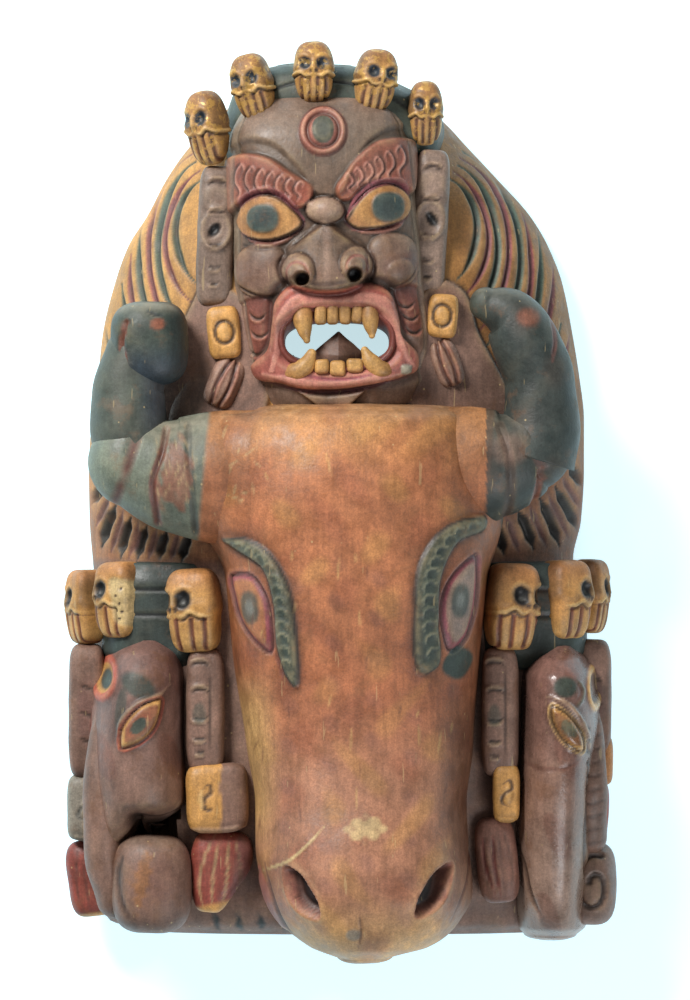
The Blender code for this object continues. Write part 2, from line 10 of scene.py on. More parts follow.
import bpy
import numpy as np
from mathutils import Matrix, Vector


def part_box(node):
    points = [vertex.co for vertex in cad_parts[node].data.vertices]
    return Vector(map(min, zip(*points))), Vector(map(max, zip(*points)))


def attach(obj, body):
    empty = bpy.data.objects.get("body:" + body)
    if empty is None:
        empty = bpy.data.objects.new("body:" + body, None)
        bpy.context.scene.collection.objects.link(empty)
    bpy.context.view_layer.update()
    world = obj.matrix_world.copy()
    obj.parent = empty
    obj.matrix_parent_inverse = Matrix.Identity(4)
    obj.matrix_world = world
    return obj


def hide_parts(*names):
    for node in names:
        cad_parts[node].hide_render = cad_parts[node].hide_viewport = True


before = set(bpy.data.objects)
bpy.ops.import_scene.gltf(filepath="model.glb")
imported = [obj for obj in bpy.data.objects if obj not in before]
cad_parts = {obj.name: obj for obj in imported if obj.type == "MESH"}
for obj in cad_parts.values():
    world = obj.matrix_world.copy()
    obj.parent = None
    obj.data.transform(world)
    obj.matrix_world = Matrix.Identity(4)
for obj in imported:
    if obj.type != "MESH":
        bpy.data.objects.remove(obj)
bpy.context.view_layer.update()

NODE, BODY, SLOT = "mask", "root", "painted_wood"
LOW, HIGH = (np.array(corner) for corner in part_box(NODE))

# The carving's plan, as on the solid: its length in units, its middle, and one unit in metres
PLAN_LENGTH = 610.5
UNIT = (HIGH[1] - LOW[1]) / PLAN_LENGTH
PLAN_MIDDLE = np.array((0.2, 1.25, 0.0))
RIM = 0.024 / UNIT
WALL = 0.022 / UNIT
DEEP_SIDE = 0.030 / UNIT
DEEP_WALL = 0.042 / UNIT
# The photograph shows 1.5 pixels for each plan unit, about this middle
PIXELS_PER_UNIT = 1.5
# How finely curves are measured before they are divided evenly, and a place beyond the whole mask
CURVE_STEPS = 600
ARC_STEPS = 721
BEYOND = 1e3
# A stroke is looked for this far from its path. Relief is set against itself blurred this often, and is
# fully dirty and shaded (grime and painted shade) or worn where it stands this far off it
STROKE_REACH = 26.0
BLUR_TIMES = 20
FULL_WEAR = 0.9
VIEW_MIDDLE = (3.333, 0.667)

# The half log: place along the mask, left edge, right edge, crest height
LOG = [
    (-291, -128, 140, 46), (-284, -156, 166, 62), (-262, -166, 171, 74), (-200, -169, 172, 86),
    (-106, -169, 168, 90), (-60, -166, 162, 92), (-39, -167.7, 158, 94), (-13, -169.7, 163.3, 96),
    (21, -170.3, 165.3, 98), (55, -168.3, 165.3, 98), (85, -164, 162, 98), (114, -160.7, 157.3, 98),
    (147, -152.7, 150.7, 96), (173, -143.3, 140.7, 93), (193, -130.7, 128.7, 89), (217, -118, 107.3, 84),
    (239, -102.7, 86.7, 78), (258, -83, 68.7, 70), (280, -62, 38, 58), (288, -44, 14, 48),
]
UPPER_HEAD = [
    (46, -34, 40, 98), (56, -44, 46, 104), (68, -53, 54, 112), (85, -61, 60, 117), (110, -67, 62, 120),
    (140, -71, 59, 120), (180, -73, 55, 121), (215, -73.5, 50.5, 123), (240, -72, 47, 120),
    (256, -66, 40, 112), (266, -56, 30, 100), (271, -42, 16, 88),
]
HOOD = [
    (205, -76, 60, 92), (225, -78, 64, 96), (250, -78, 70, 100), (268, -74, 62, 100), (283, -66, 34, 96),
    (290, -52, 20, 88), (292, -44, 10, 76),
]
BULL_HEAD = [
    (-304, -2, 36, 138), (-297, -21, 60, 158), (-281, -39, 79, 172), (-262, -50, 87.5, 178),
    (-231, -56.5, 86, 174), (-200, -57.5, 85.5, 166), (-166, -62.5, 89.5, 161), (-120, -70, 92.5, 161),
    (-80, -75, 96.5, 163), (-50, -77.5, 99.5, 164), (-30, -82, 101.5, 164), (0, -91, 102, 163),
    (30, -92.5, 99.5, 159), (48, -88, 95, 153), (57, -76, 91, 146), (61, -60, 84, 134),
]
LEFT_SHOULDER = [(40, -121, -40, 88), (62, -117, -40, 90), (100, -101, -40, 90), (146, -90, -40, 86)]
RIGHT_SHOULDER = [(40, 40, 112, 88), (62, 40, 106, 90), (100, 40, 90, 90), (146, 40, 79, 86)]
LEFT_BAND = [(-112, -152, -64, 74), (-100, -160, -64, 84), (-56, -160, -64, 86), (-42, -156, -66, 82)]
RIGHT_BAND = [(-112, 84, 158, 74), (-100, 84, 166, 84), (-56, 84, 166, 86), (-42, 86, 160, 82)]
LEFT_ELEPHANT = [
    (-238, -158, -104, 78), (-229, -168, -101, 96), (-210, -171, -100, 107), (-186, -171.5, -100, 113),
    (-146, -169, -101, 115), (-119, -163, -101, 112), (-103, -155, -103, 103), (-94, -142, -112, 86),
]
RIGHT_ELEPHANT = [
    (-292, 124, 160, 62), (-286, 120, 166, 80), (-262, 117, 168, 96), (-226, 117, 170, 105),
    (-186, 118, 172, 112), (-146, 118.5, 176, 115), (-119, 120, 173, 112), (-107, 126, 168, 102),
    (-98, 136, 160, 84),
]
# Each block's outline, the height of its sunk foot and its roundness
BLOCKS = {
    "log": (LOG, 0.0, 2.3),
    "upper_head": (UPPER_HEAD, 62.0, 3.4),
    "crown_band": (HOOD, 40.0, 3.0),
    "bull_head": (BULL_HEAD, 60.0, 2.7),
    "left_neck": (LEFT_SHOULDER, 66.0, 3.0),
    "right_neck": (RIGHT_SHOULDER, 67.0, 3.0),
    "left_green_band": (LEFT_BAND, 34.0, 3.0),
    "right_green_band": (RIGHT_BAND, 35.0, 3.0),
    "left_elephant": (LEFT_ELEPHANT, 24.0, 2.4),
    "right_elephant": (RIGHT_ELEPHANT, 24.0, 2.4),
}

# Ears, ear studs and tassels: middle x, y, z, half width, half length, half depth, tilt in degrees
PODS = {
    "upper_left_ear": (-83, 177, 82, 12.5, 47, 13, -2),
    "upper_right_ear": (60, 184, 82, 12, 51, 13, -3),
    "upper_left_stud": (-77.5, 112.5, 91, 11, 17.5, 11, 5),
    "upper_right_stud": (68.5, 123.5, 91, 10, 14.5, 11, -4),
    "upper_left_tassel": (-77, 79, 91, 11, 17, 9, -24),
    "upper_right_tassel": (71, 92, 91, 9.5, 16, 9, 20),
    "left_near_ear": (-90, -140, 82, 13, 41, 14, 0),
    "left_near_stud": (-82, -198, 84, 21, 23, 14, 2),
    "left_near_tassel": (-80, -248, 78, 21, 28, 13, -6),
    "left_far_ear": (-170, -141, 46, 12.5, 45, 17, 0),
    "left_far_stud": (-172, -206, 44, 11.5, 22, 15, 0),
    "left_far_tassel": (-168, -254, 36, 15.5, 26, 14, 8),
    "right_near_ear": (107, -141, 82, 12.5, 43, 15, 0),
    "right_near_stud": (111, -195, 88, 9, 19, 10, 0),
    "right_near_tassel": (105, -240, 78, 14, 29, 11, 6),
    "right_far_ear": (170, -133, 46, 12.5, 40, 17, 0),
    "right_far_stud": (173, -174, 46, 10.5, 17, 14, 0),
    "right_far_tassel": (170, -213, 42, 10.5, 26, 13, -4),
    "left_trunk_curl": (-126, -256, 80, 27, 33, 27, 0),
    "right_trunk_curl": (168, -257, 48, 18, 28, 27, 0),
    "left_horn_tip": (-127, 105, 104, 26, 28, 26, 0),
}
# Skulls: middle x, y, z, half width, half length, turn to the side, tilt in the plan
SKULLS = {
    "crown_1": (-88.5, 249, 90, 13.5, 25, -32, 8),
    "crown_2": (-58, 276, 98, 13.5, 22.5, -18, 12),
    "crown_3": (-17.5, 286, 101, 13.5, 20.5, 0, 0),
    "crown_4": (23.5, 280.5, 98, 14, 21, 12, -8),
    "crown_5": (57, 259, 88, 11.5, 21.5, 6, 0),
    "left_far": (-170, -71, 50, 13, 25, -62, 0),
    "left_mid": (-147, -66, 72, 15, 25.5, -36, 0),
    "left_near": (-97, -73, 86, 17.5, 28, -12, 3),
    "right_near": (114.5, -70.5, 86, 17.5, 29, 14, -3),
    "right_mid": (150, -66, 72, 16, 26.5, 38, 0),
    "right_far": (168, -64, 48, 12, 25, 66, 0),
}
# Horns and trunks: x, y, z and radius along their length
LEFT_HORN_ROOT = [(-52, 15, 100, 46), (-86, 16, 102, 44), (-112, 18, 105, 38), (-137, 26, 107, 31)]
LEFT_HORN = [(-135, 26, 104, 26.5), (-141, 50, 104, 26), (-141, 72, 104, 24), (-135, 96, 104, 22)]
RIGHT_HORN_ROOT = [(62, 21, 100, 42), (94, 24, 104, 39), (116, 29, 106, 33), (126, 34, 107, 28)]
RIGHT_HORN = [
    (128, 28, 104, 29), (134, 50, 104, 26), (133, 78, 104, 23.5), (124, 104, 106, 23), (111, 125, 108, 18),
    (97, 131, 110, 11),
]
LEFT_TRUNK = [(-150, -118, 66, 5), (-156, -146, 78, 9), (-160, -190, 84, 12), (-158, -235, 80, 13),
              (-149, -266, 72, 14)]
RIGHT_TRUNK = [(160, -122, 62, 5), (167, -152, 72, 9), (168, -190, 76, 11), (167, -225, 66, 12)]

MOUTH_MIDDLE = (-2.0, 108.0)
HOLE_HALF = (35.0, 18.0)

# The old paints, as the eye sees them on the mask (red, green and blue out of 255)
PAINTS = {"orange": (170, 106, 68), "orange_dark": (128, 76, 46), "brick": (142, 78, 54),
          "ochre": (198, 146, 80), "ochre_light": (216, 176, 112), "ochre_dark": (146, 96, 48),
          "green": (58, 68, 60), "green_light": (102, 112, 98), "green_dark": (38, 50, 50),
          "strand_green": (84, 110, 98), "plum": (112, 76, 72), "taupe": (134, 112, 98),
          "taupe_dark": (106, 84, 68), "brown": (128, 98, 84), "brown_light": (152, 124, 108),
          "brow_red": (142, 76, 58), "brow_dark": (108, 68, 56), "red": (168, 72, 56),
          "red_dark": (122, 60, 50), "pink": (168, 98, 86), "pink_light": (204, 140, 126),
          "magenta": (146, 72, 82), "eyeball": (178, 130, 76), "iris": (54, 70, 68),
          "black": (34, 34, 36), "tooth": (196, 150, 88), "tongue": (92, 66, 54), "umber": (82, 60, 48),
          "putty": (206, 180, 128), "bare_wood": (122, 82, 52), "dust": (170, 160, 140),
          "blue_black": (44, 58, 72), "grey": (128, 128, 120)}


def linear(red, green, blue):
    """A screen colour out of 255 as linear light: ((v + 0.055) / 1.055) ** 2.4 above the toe."""
    value = np.array((red, green, blue), float) / 255
    return np.where(value <= 0.04045, value / 12.92, ((value + 0.055) / 1.055) ** 2.4)


# The pale floor shows white in the photograph, so a paint reflects a little less than it seems to
LIGHT_ON_FLOOR = 0.84
PAINT = {name: linear(*value) * LIGHT_ON_FLOOR for name, value in PAINTS.items()}


def soft(low, high, value):
    """A smooth step from 0 at low to 1 at high: t * t * (3 - 2 * t)."""
    t = np.clip((np.asarray(value, float) - low) / (high - low), 0, 1)
    return t * t * (3 - 2 * t)


def through(table, at):
    """A smooth curve through a table's rows that never overshoots: cubic pieces with monotone slopes."""
    table = np.asarray(table, float)
    table = table[np.argsort(table[:, 0])]
    place, value = table[:, 0], table[:, 1:]
    gap = np.diff(place)[:, None]
    rise = np.diff(value, axis=0) / gap
    slope = np.zeros_like(value)
    slope[0], slope[-1] = rise[0], rise[-1]
    same_way = rise[:-1] * rise[1:] > 0
    both = np.where(same_way, rise[:-1] + rise[1:], 1.0)
    slope[1:-1] = np.where(same_way, 2 * rise[:-1] * rise[1:] / both, 0.0)
    at = np.clip(np.asarray(at, float), place[0], place[-1])
    k = np.clip(np.searchsorted(place, at, side="right") - 1, 0, len(place) - 2)
    t = (at - place[k])[:, None] / gap[k]
    return (
        value[k] * (1 + 2 * t) * (1 - t) ** 2 + slope[k] * gap[k] * t * (1 - t) ** 2
        + value[k + 1] * t * t * (3 - 2 * t) + slope[k + 1] * gap[k] * t * t * (t - 1)
    )


def edges(table, y):
    """What a block's table says at places y along it: left edge, right edge and, where given, its height."""
    y = np.asarray(y, float)
    return [value.reshape(y.shape) for value in through(table, y.ravel()).T]


def run(a, b):
    """Length along a curve up to each of its points, from its two coordinates."""
    return np.r_[0, np.cumsum(np.hypot(np.diff(a), np.diff(b)))]


def bell(value, middle, width):
    """A smooth hump: exp(-((value - middle) / width) ** 2)."""
    return np.exp(-(((value - middle) / width) ** 2))


def curve_through(points, count):
    """A smooth open curve through a few points, each column cubic in the chord length, evenly sampled."""
    points = np.asarray(points, float)
    step = np.linalg.norm(np.diff(points[:, :2], axis=0), axis=1)
    place = np.r_[0, np.cumsum(np.maximum(step, 1e-6))]
    slope = np.gradient(points, place, axis=0)
    at = np.linspace(0, place[-1], count)
    k = np.clip(np.searchsorted(place, at, side="right") - 1, 0, len(place) - 2)
    gap = (place[k + 1] - place[k])[:, None]
    t = (at - place[k])[:, None] / gap
    return (
        points[k] * (1 + 2 * t) * (1 - t) ** 2 + slope[k] * gap * t * (1 - t) ** 2
        + points[k + 1] * t * t * (3 - 2 * t) + slope[k + 1] * gap * t * t * (t - 1)
    )


def even_rows(table, count):
    """Places along a table's curve, closer together where the block narrows at its ends."""
    places = [row[0] for row in table]
    fine = np.linspace(min(places), max(places), CURVE_STEPS)
    curve = through(table, fine)
    change = 0.8 * np.abs(np.diff(curve, axis=0)).max(axis=1)
    length = np.r_[0, np.cumsum(np.hypot(np.diff(fine), change))]
    return np.interp(np.linspace(0, length[-1], count), length, fine)


def arch_grid(name, across, along, end_rows=8, bulge=3.0, span=(0.0, 1.0), reach=(-BEYOND, BEYOND)):
    """A block's front as rows of arches: x and z follow a superellipse over the width at each place y.

    Each end of the block closes in a low dome: the last arch shrinks to its middle, pushed out by bulge.
    span is the share of each arch and reach the part of the block's length that the grid takes.
    """
    table, base, roundness = BLOCKS[name]
    kept = even_rows(table, CURVE_STEPS)
    kept = kept[(kept > reach[0]) & (kept < reach[1])]
    places = np.interp(np.linspace(0, len(kept) - 1, along), np.arange(len(kept)), kept)
    left, right, front = edges(table, places)
    angle = np.linspace(0, math.pi, ARC_STEPS)
    c, s = np.cos(angle), np.sin(angle)
    shape_x, shape_z = -np.sign(c) * np.abs(c) ** (2 / roundness), np.abs(s) ** (2 / roundness)
    middle, half = (left + right) / 2, (right - left) / 2
    x = middle[:, None] + half[:, None] * shape_x
    z = base + (front - base)[:, None] * shape_z
    rows = np.empty((along, across, 3))
    for k in range(along):
        length = run(x[k], z[k])
        even = np.linspace(span[0] * length[-1], span[1] * length[-1], across)
        row_x, row_z = np.interp(even, length, x[k]), np.interp(even, length, z[k])
        rows[k] = np.c_[row_x, np.full(across, places[k]), row_z]
    share = np.sin(np.linspace(0, math.pi / 2, end_rows + 1))[1:]
    ends = []
    for k, way, whole in ((0, -1, reach[0] < table[0][0]), (-1, 1, reach[1] > table[-1][0])):
        row = rows[k]
        centre = np.array((middle[k], row[0, 1], base))
        shrink = np.sqrt(np.clip(1 - share**2, 0, 1))[:, None, None]
        end = centre + (row - centre)[None] * shrink
        end[:, :, 1] += way * bulge * share[:, None]
        ends.append(end if whole else end[:0])
    return np.concatenate([ends[0][::-1], rows, ends[1]])


def front_height(name, x, y):
    """Height of a block's front over plan points: base + rise * (1 - |share| ** n) ** (1 / n)."""
    table, base, roundness = BLOCKS[name]
    left, right, front = edges(table, y)
    share = np.abs(x - (left + right) / 2) / ((right - left) / 2)
    rise = (1 - np.clip(share, 0, 1) ** roundness) ** (1 / roundness)
    inside = (share <= 1) & (y >= table[0][0]) & (y <= table[-1][0])
    return np.where(inside, base + (front - base) * rise, -1.0)


class Carving:
    """A surface while it is carved and painted: its plan places, its lift along the normals and its paint."""

    def __init__(self, points, paint):
        self.points = points
        self.x, self.y = points[..., 0], points[..., 1]
        self.lift = np.zeros(self.x.shape)
        self.colour = np.broadcast_to(PAINT[paint], (*self.x.shape, 3)).copy()
        self.dust = np.zeros(self.x.shape)

    def tint(self, amount, paint):
        """Lays a paint over the surface where amount is 1, and lets the old one show where it is 0."""
        amount = np.clip(amount, 0, 1)[..., None]
        self.colour = self.colour * (1 - amount) + PAINT[paint] * amount

    def cover(self, paint, amount=1.0):
        """Lays a paint over the whole surface by the same amount."""
        self.tint(np.full(self.x.shape, amount), paint)

    def radius(self, x, y, half_x, half_y, tilt=0.0, power=2.0):
        """Superelliptic distance from a middle: 1 on the oval, less inside it."""
        a = math.radians(tilt)
        u = (self.x - x) * math.cos(a) + (self.y - y) * math.sin(a)
        v = (self.y - y) * math.cos(a) - (self.x - x) * math.sin(a)
        return ((np.abs(u) / half_x) ** power + (np.abs(v) / half_y) ** power) ** (1 / power)

    def boss(self, x, y, half_x, half_y, out, tilt=0.0, power=2.0):
        """A round swelling: out * (1 - r * r) ** 0.5, which meets the surface at its rim. Returns r."""
        r = self.radius(x, y, half_x, half_y, tilt, power)
        self.lift += out * np.sqrt(np.clip(1 - r * r, 0, 1))
        return r

    def swell(self, x, y, half_x, half_y, out, tilt=0.0):
        """A soft swelling with no edge: out * exp(-2 * r * r)."""
        self.lift += out * np.exp(-2 * self.radius(x, y, half_x, half_y, tilt) ** 2)

    def along(self, points, count=24):
        """Distance of every place from a smooth stroke, and the nearest share along it."""
        path = curve_through(points, count)[:, :2] if len(points) > 2 else np.asarray(points, float)[:, :2]
        low, high = path.min(axis=0) - STROKE_REACH, path.max(axis=0) + STROKE_REACH
        near = (self.x > low[0]) & (self.x < high[0]) & (self.y > low[1]) & (self.y < high[1])
        distance, share = np.full(self.x.shape, BEYOND), np.zeros(self.x.shape)
        if near.any():
            place = np.stack([self.x[near], self.y[near]], axis=1)
            best, best_share = np.full(len(place), 1e6), np.zeros(len(place))
            for k in range(len(path) - 1):
                way = path[k + 1] - path[k]
                t = np.clip((place - path[k]) @ way / max(way @ way, 1e-9), 0, 1)
                gap = np.hypot(*(place - path[k] - t[:, None] * way).T)
                closer = gap < best
                best = np.where(closer, gap, best)
                best_share = np.where(closer, (k + t) / (len(path) - 1), best_share)
            distance[near], share[near] = best, best_share
        return distance, share

    def groove(self, points, half, deep, paint=None, spread=1.0, taper=True, strength=0.9):
        """A V-shaped cut along a stroke: deep * (1 - distance / half), shallower towards its ends."""
        distance, share = self.along(points)
        wide = half * (np.clip(4 * np.minimum(share, 1 - share), 0.25, 1) if taper else 1.0)
        cut = np.clip(1 - distance / wide, 0, 1)
        self.lift -= deep * cut**1.2 * (wide / half)
        if paint:
            self.tint(strength * soft(wide * spread + 0.6, wide * spread - 0.6, distance), paint)
        return distance

    def ridge(self, points, half, out, paint=None, strength=0.9):
        """A round ridge along a stroke: out * (1 - (distance / half) ** 2) ** 0.5."""
        distance, share = self.along(points)
        wide = half * np.clip(5 * np.minimum(share, 1 - share), 0.35, 1)
        self.lift += out * np.sqrt(np.clip(1 - (distance / wide) ** 2, 0, 1)) * wide / half
        if paint:
            self.tint(strength * soft(wide + 0.5, wide - 0.7, distance), paint)
        return distance

    def inside(self, points, edge=1.2, smooth=True):
        """How far each place lies inside a closed outline: 1 inside, 0 outside, soft over its edge."""
        ring = np.asarray(points, float)
        if smooth:
            around = np.concatenate([ring[-2:], ring, ring[:3]])
            ring = curve_through(around, 12 * len(around))
            first = np.argmin(np.hypot(*(ring[: len(ring) // 2] - points[0]).T))
            last = len(ring) // 2 + np.argmin(np.hypot(*(ring[len(ring) // 2 :] - points[0]).T))
            ring = ring[first:last]
        low, high = ring.min(axis=0) - 3, ring.max(axis=0) + 3
        near = (self.x > low[0]) & (self.x < high[0]) & (self.y > low[1]) & (self.y < high[1])
        out = np.zeros(self.x.shape)
        if near.any():
            px, py = self.x[near], self.y[near]
            crossed, gap = np.zeros(len(px), bool), np.full(len(px), 1e6)
            for a, b in zip(ring, np.roll(ring, -1, axis=0)):
                between = (a[1] > py) != (b[1] > py)
                slope = (b[0] - a[0]) / (b[1] - a[1]) if b[1] != a[1] else 0.0
                crossed ^= between & (px < a[0] + (py - a[1]) * slope)
                way = b - a
                t = np.clip(((px - a[0]) * way[0] + (py - a[1]) * way[1]) / max(way @ way, 1e-9), 0, 1)
                gap = np.minimum(gap, np.hypot(px - a[0] - t * way[0], py - a[1] - t * way[1]))
            out[near] = soft(-edge / 2, edge / 2, np.where(crossed, gap, -gap))
        return out


def normals(points, wrapped=False):
    """Unit normals of a grid of points, from the cross product of its two directions."""
    if wrapped:
        across = np.roll(points, -1, axis=1) - np.roll(points, 1, axis=1)
    else:
        across = np.gradient(points, axis=1)
    along = np.gradient(points, axis=0)
    normal = np.cross(across, along)
    length = np.linalg.norm(normal, axis=2, keepdims=True)
    return normal / np.maximum(length, 1e-9)


def blurred(values, times, wrapped=False):
    """A grid smoothed by repeated averages with its four neighbours."""
    for _ in range(times):
        padded = np.pad(values, ((1, 1), (0, 0)), mode="edge")
        sides = np.pad(values, ((0, 0), (1, 1)), mode="wrap" if wrapped else "edge")
        values = (2 * values + padded[:-2] + padded[2:] + sides[:, :-2] + sides[:, 2:]) / 6
    return values


def tool_marks(x, y, seed, size=9.0, height=0.28):
    """Shallow facets left by a gouge: two crossed waves of uneven length, each a few tenths of a unit."""
    a = np.sin(x / size + 1.7 * np.sin(y / (2.3 * size) + seed) + seed)
    b = np.sin(y / (1.4 * size) + 1.3 * np.sin(x / (1.9 * size) - seed) + 2 * seed)
    return height * a * b


pieces = []


def make_piece(name, points, faces, colour, grime_and_shade, worn, dust, material):
    """A mesh object in metres with its paint, grime and painted shade, wear and dust as attributes of its
    points.
    """
    mesh = bpy.data.meshes.new(name)
    places = (np.asarray(points, float) - PLAN_MIDDLE) * UNIT
    mesh.vertices.add(len(places))
    mesh.vertices.foreach_set("co", places.astype(np.float32).ravel())
    sizes = np.array([len(group) and group.shape[1] for group in faces])
    counts = np.concatenate([np.full(len(group), size) for group, size in zip(faces, sizes)])
    corners = np.concatenate([np.asarray(group).ravel() for group in faces])
    mesh.loops.add(len(corners))
    mesh.loops.foreach_set("vertex_index", corners.astype(np.int32))
    mesh.polygons.add(len(counts))
    mesh.polygons.foreach_set("loop_start", np.r_[0, np.cumsum(counts)[:-1]].astype(np.int32))
    mesh.update(calc_edges=True)
    mesh.shade_smooth()
    paint = mesh.attributes.new("paint", "FLOAT_COLOR", "POINT")
    opaque = np.c_[np.clip(colour, 0, 1), np.ones(len(places))]
    paint.data.foreach_set("color", opaque.astype(np.float32).ravel())
    for title, values in (("grime_and_shade", grime_and_shade), ("worn", worn), ("dust", dust)):
        layer = mesh.attributes.new(title, "FLOAT", "POINT")
        layer.data.foreach_set("value", np.asarray(values, np.float32).ravel())
    mesh.materials.append(material)
    thing = bpy.data.objects.new(name, mesh)
    bpy.context.scene.collection.objects.link(thing)
    pieces.append(thing)
    return thing


def wear_of(carving, wrapped=False):
    """Grime and painted shade where the carving lies below its blurred self, and wear where it stands above
    it.
    """
    proud = (carving.lift - blurred(carving.lift, BLUR_TIMES, wrapped)) / FULL_WEAR
    return np.clip(-proud, 0, 1), np.clip(proud, 0, 1)


def finish_grid(name, carving, material, drop=None, wrapped=False, flip=False, lifted=False):
    """Turns a carved grid into a piece: lifts it along its smooth normals and leaves out dropped places.

    Where lifted is true the points hold their lift already, and it only says where grime, painted shade and
    wear go.
    """
    points = carving.points
    if not lifted:
        lift = carving.lift * (-1 if flip else 1)
        points = points + normals(points, wrapped) * lift[..., None]
    grime_and_shade, worn = wear_of(carving, wrapped)
    rows, across = points.shape[:2]
    number = np.arange(rows * across).reshape(rows, across)
    if wrapped:
        number = np.c_[number, number[:, :1]]
    corners = [number[:-1, :-1], number[:-1, 1:], number[1:, 1:], number[1:, :-1]]
    quads = np.stack(corners, axis=-1).reshape(-1, 4)
    if drop is not None:
        quads = quads[~drop.ravel()[quads].all(axis=1)]
    groups, flat = [quads], points.reshape(-1, 3)
    colour, dust = carving.colour.reshape(-1, 3), carving.dust.ravel()
    grime_and_shade, worn = grime_and_shade.ravel(), worn.ravel()
    if wrapped:
        ends = []
        for row, tip in ((number[0, :-1], len(flat)), (number[-1, :-1], len(flat) + 1)):
            pair = (np.roll(row, -1), row) if tip == len(flat) else (row, np.roll(row, -1))
            ends.append(np.stack([*pair, np.full(across, tip)], axis=1))
        flat = np.concatenate([flat, points[0].mean(axis=0)[None], points[-1].mean(axis=0)[None]])
        colour = np.concatenate([colour, colour[:1], colour[-1:]])
        dust = np.r_[dust, dust[0], dust[-1]]
        grime_and_shade, worn = (np.r_[v, (0.0, 0.0) if lifted else (v[0], v[-1])] for v in (grime_and_shade, worn))
        groups.append(np.concatenate(ends))
    if flip:
        groups = [group[:, ::-1] for group in groups]
    used = np.zeros(len(flat), bool)
    for group in groups:
        used[group.ravel()] = True
    renumber = np.cumsum(used) - 1
    groups = [renumber[group] for group in groups]
    return make_piece(name, flat[used], groups, colour[used], grime_and_shade[used], worn[used], dust[used], material)


def settle(carving, local, place, turn=0, tilt=0):
    """Lifts a carving that was made upright about its own middle, then turns it and puts it in its place."""
    shaped = local + normals(local, True) * carving.lift[..., None]
    carving.points = turned(shaped, turn, tilt) + place


class Finish:
    """A material's nodes: each method adds one node and returns its output socket."""

    def __init__(self, name):
        self.material = bpy.data.materials.new(name)
        self.material.use_nodes = True
        self.tree = self.material.node_tree
        self.shader = self.tree.nodes["Principled BSDF"]
        self.place = self.tree.nodes.new("ShaderNodeTexCoord").outputs["Object"]

    def feed(self, socket, value):
        """Links a socket to another one, or sets its constant."""
        if isinstance(value, bpy.types.NodeSocket):
            self.tree.links.new(value, socket)
        else:
            socket.default_value = value

    def attribute(self, name, output="Fac"):
        """A value or colour that the points carry."""
        node = self.tree.nodes.new("ShaderNodeAttribute")
        node.attribute_name = name
        return node.outputs[output]

    def stretched(self, x, y, z):
        """The place on the object, scaled along each axis."""
        node = self.tree.nodes.new("ShaderNodeMapping")
        node.inputs["Scale"].default_value = (x, y, z)
        self.feed(node.inputs["Vector"], self.place)
        return node.outputs["Vector"]

    def noise(self, scale, detail=3.0, rough=0.55, place=None):
        """Smooth noise from 0 to 1."""
        node = self.tree.nodes.new("ShaderNodeTexNoise")
        node.inputs["Scale"].default_value = scale
        node.inputs["Detail"].default_value = detail
        node.inputs["Roughness"].default_value = rough
        self.feed(node.inputs["Vector"], place or self.place)
        return node.outputs["Fac"]

    def spots(self, scale, place=None):
        """Distance to the nearest of many scattered points."""
        node = self.tree.nodes.new("ShaderNodeTexVoronoi")
        node.inputs["Scale"].default_value = scale
        self.feed(node.inputs["Vector"], place or self.place)
        return node.outputs["Distance"]

    def between(self, value, low, high, out_low=0.0, out_high=1.0):
        """Maps a value from low..high to out_low..out_high with a smooth step."""
        node = self.tree.nodes.new("ShaderNodeMapRange")
        node.interpolation_type = "SMOOTHSTEP"
        self.feed(node.inputs["Value"], value)
        ends = {"From Min": low, "From Max": high, "To Min": out_low, "To Max": out_high}
        for title, number in ends.items():
            node.inputs[title].default_value = number
        return node.outputs["Result"]

    def maths(self, operation, a, b=0.0):
        """One sum of two values."""
        node = self.tree.nodes.new("ShaderNodeMath")
        node.operation = operation
        self.feed(node.inputs[0], a)
        self.feed(node.inputs[1], b)
        return node.outputs[0]

    def mix(self, amount, a, b, blend="MIX"):
        """Colour a where amount is 0 and b where it is 1."""
        node = self.tree.nodes.new("ShaderNodeMix")
        node.data_type = "RGBA"
        node.blend_type = blend
        self.feed(node.inputs[0], amount)
        for socket, value in ((node.inputs[6], a), (node.inputs[7], b)):
            self.feed(socket, value if isinstance(value, bpy.types.NodeSocket) else (*value, 1.0))
        return node.outputs[2]

    def shade(self, colour, value):
        """A colour times a grey value that varies over the surface."""
        node = self.tree.nodes.new("ShaderNodeCombineColor")
        for k in range(3):
            self.feed(node.inputs[k], value)
        return self.mix(1.0, colour, node.outputs[0], "MULTIPLY")

    def bump(self, height, strength, distance, below=None):
        """Fine relief in the shading, on top of the relief below it."""
        node = self.tree.nodes.new("ShaderNodeBump")
        node.inputs["Strength"].default_value = strength
        node.inputs["Distance"].default_value = distance
        self.feed(node.inputs["Height"], height)
        if below:
            self.feed(node.inputs["Normal"], below)
        return node.outputs["Normal"]


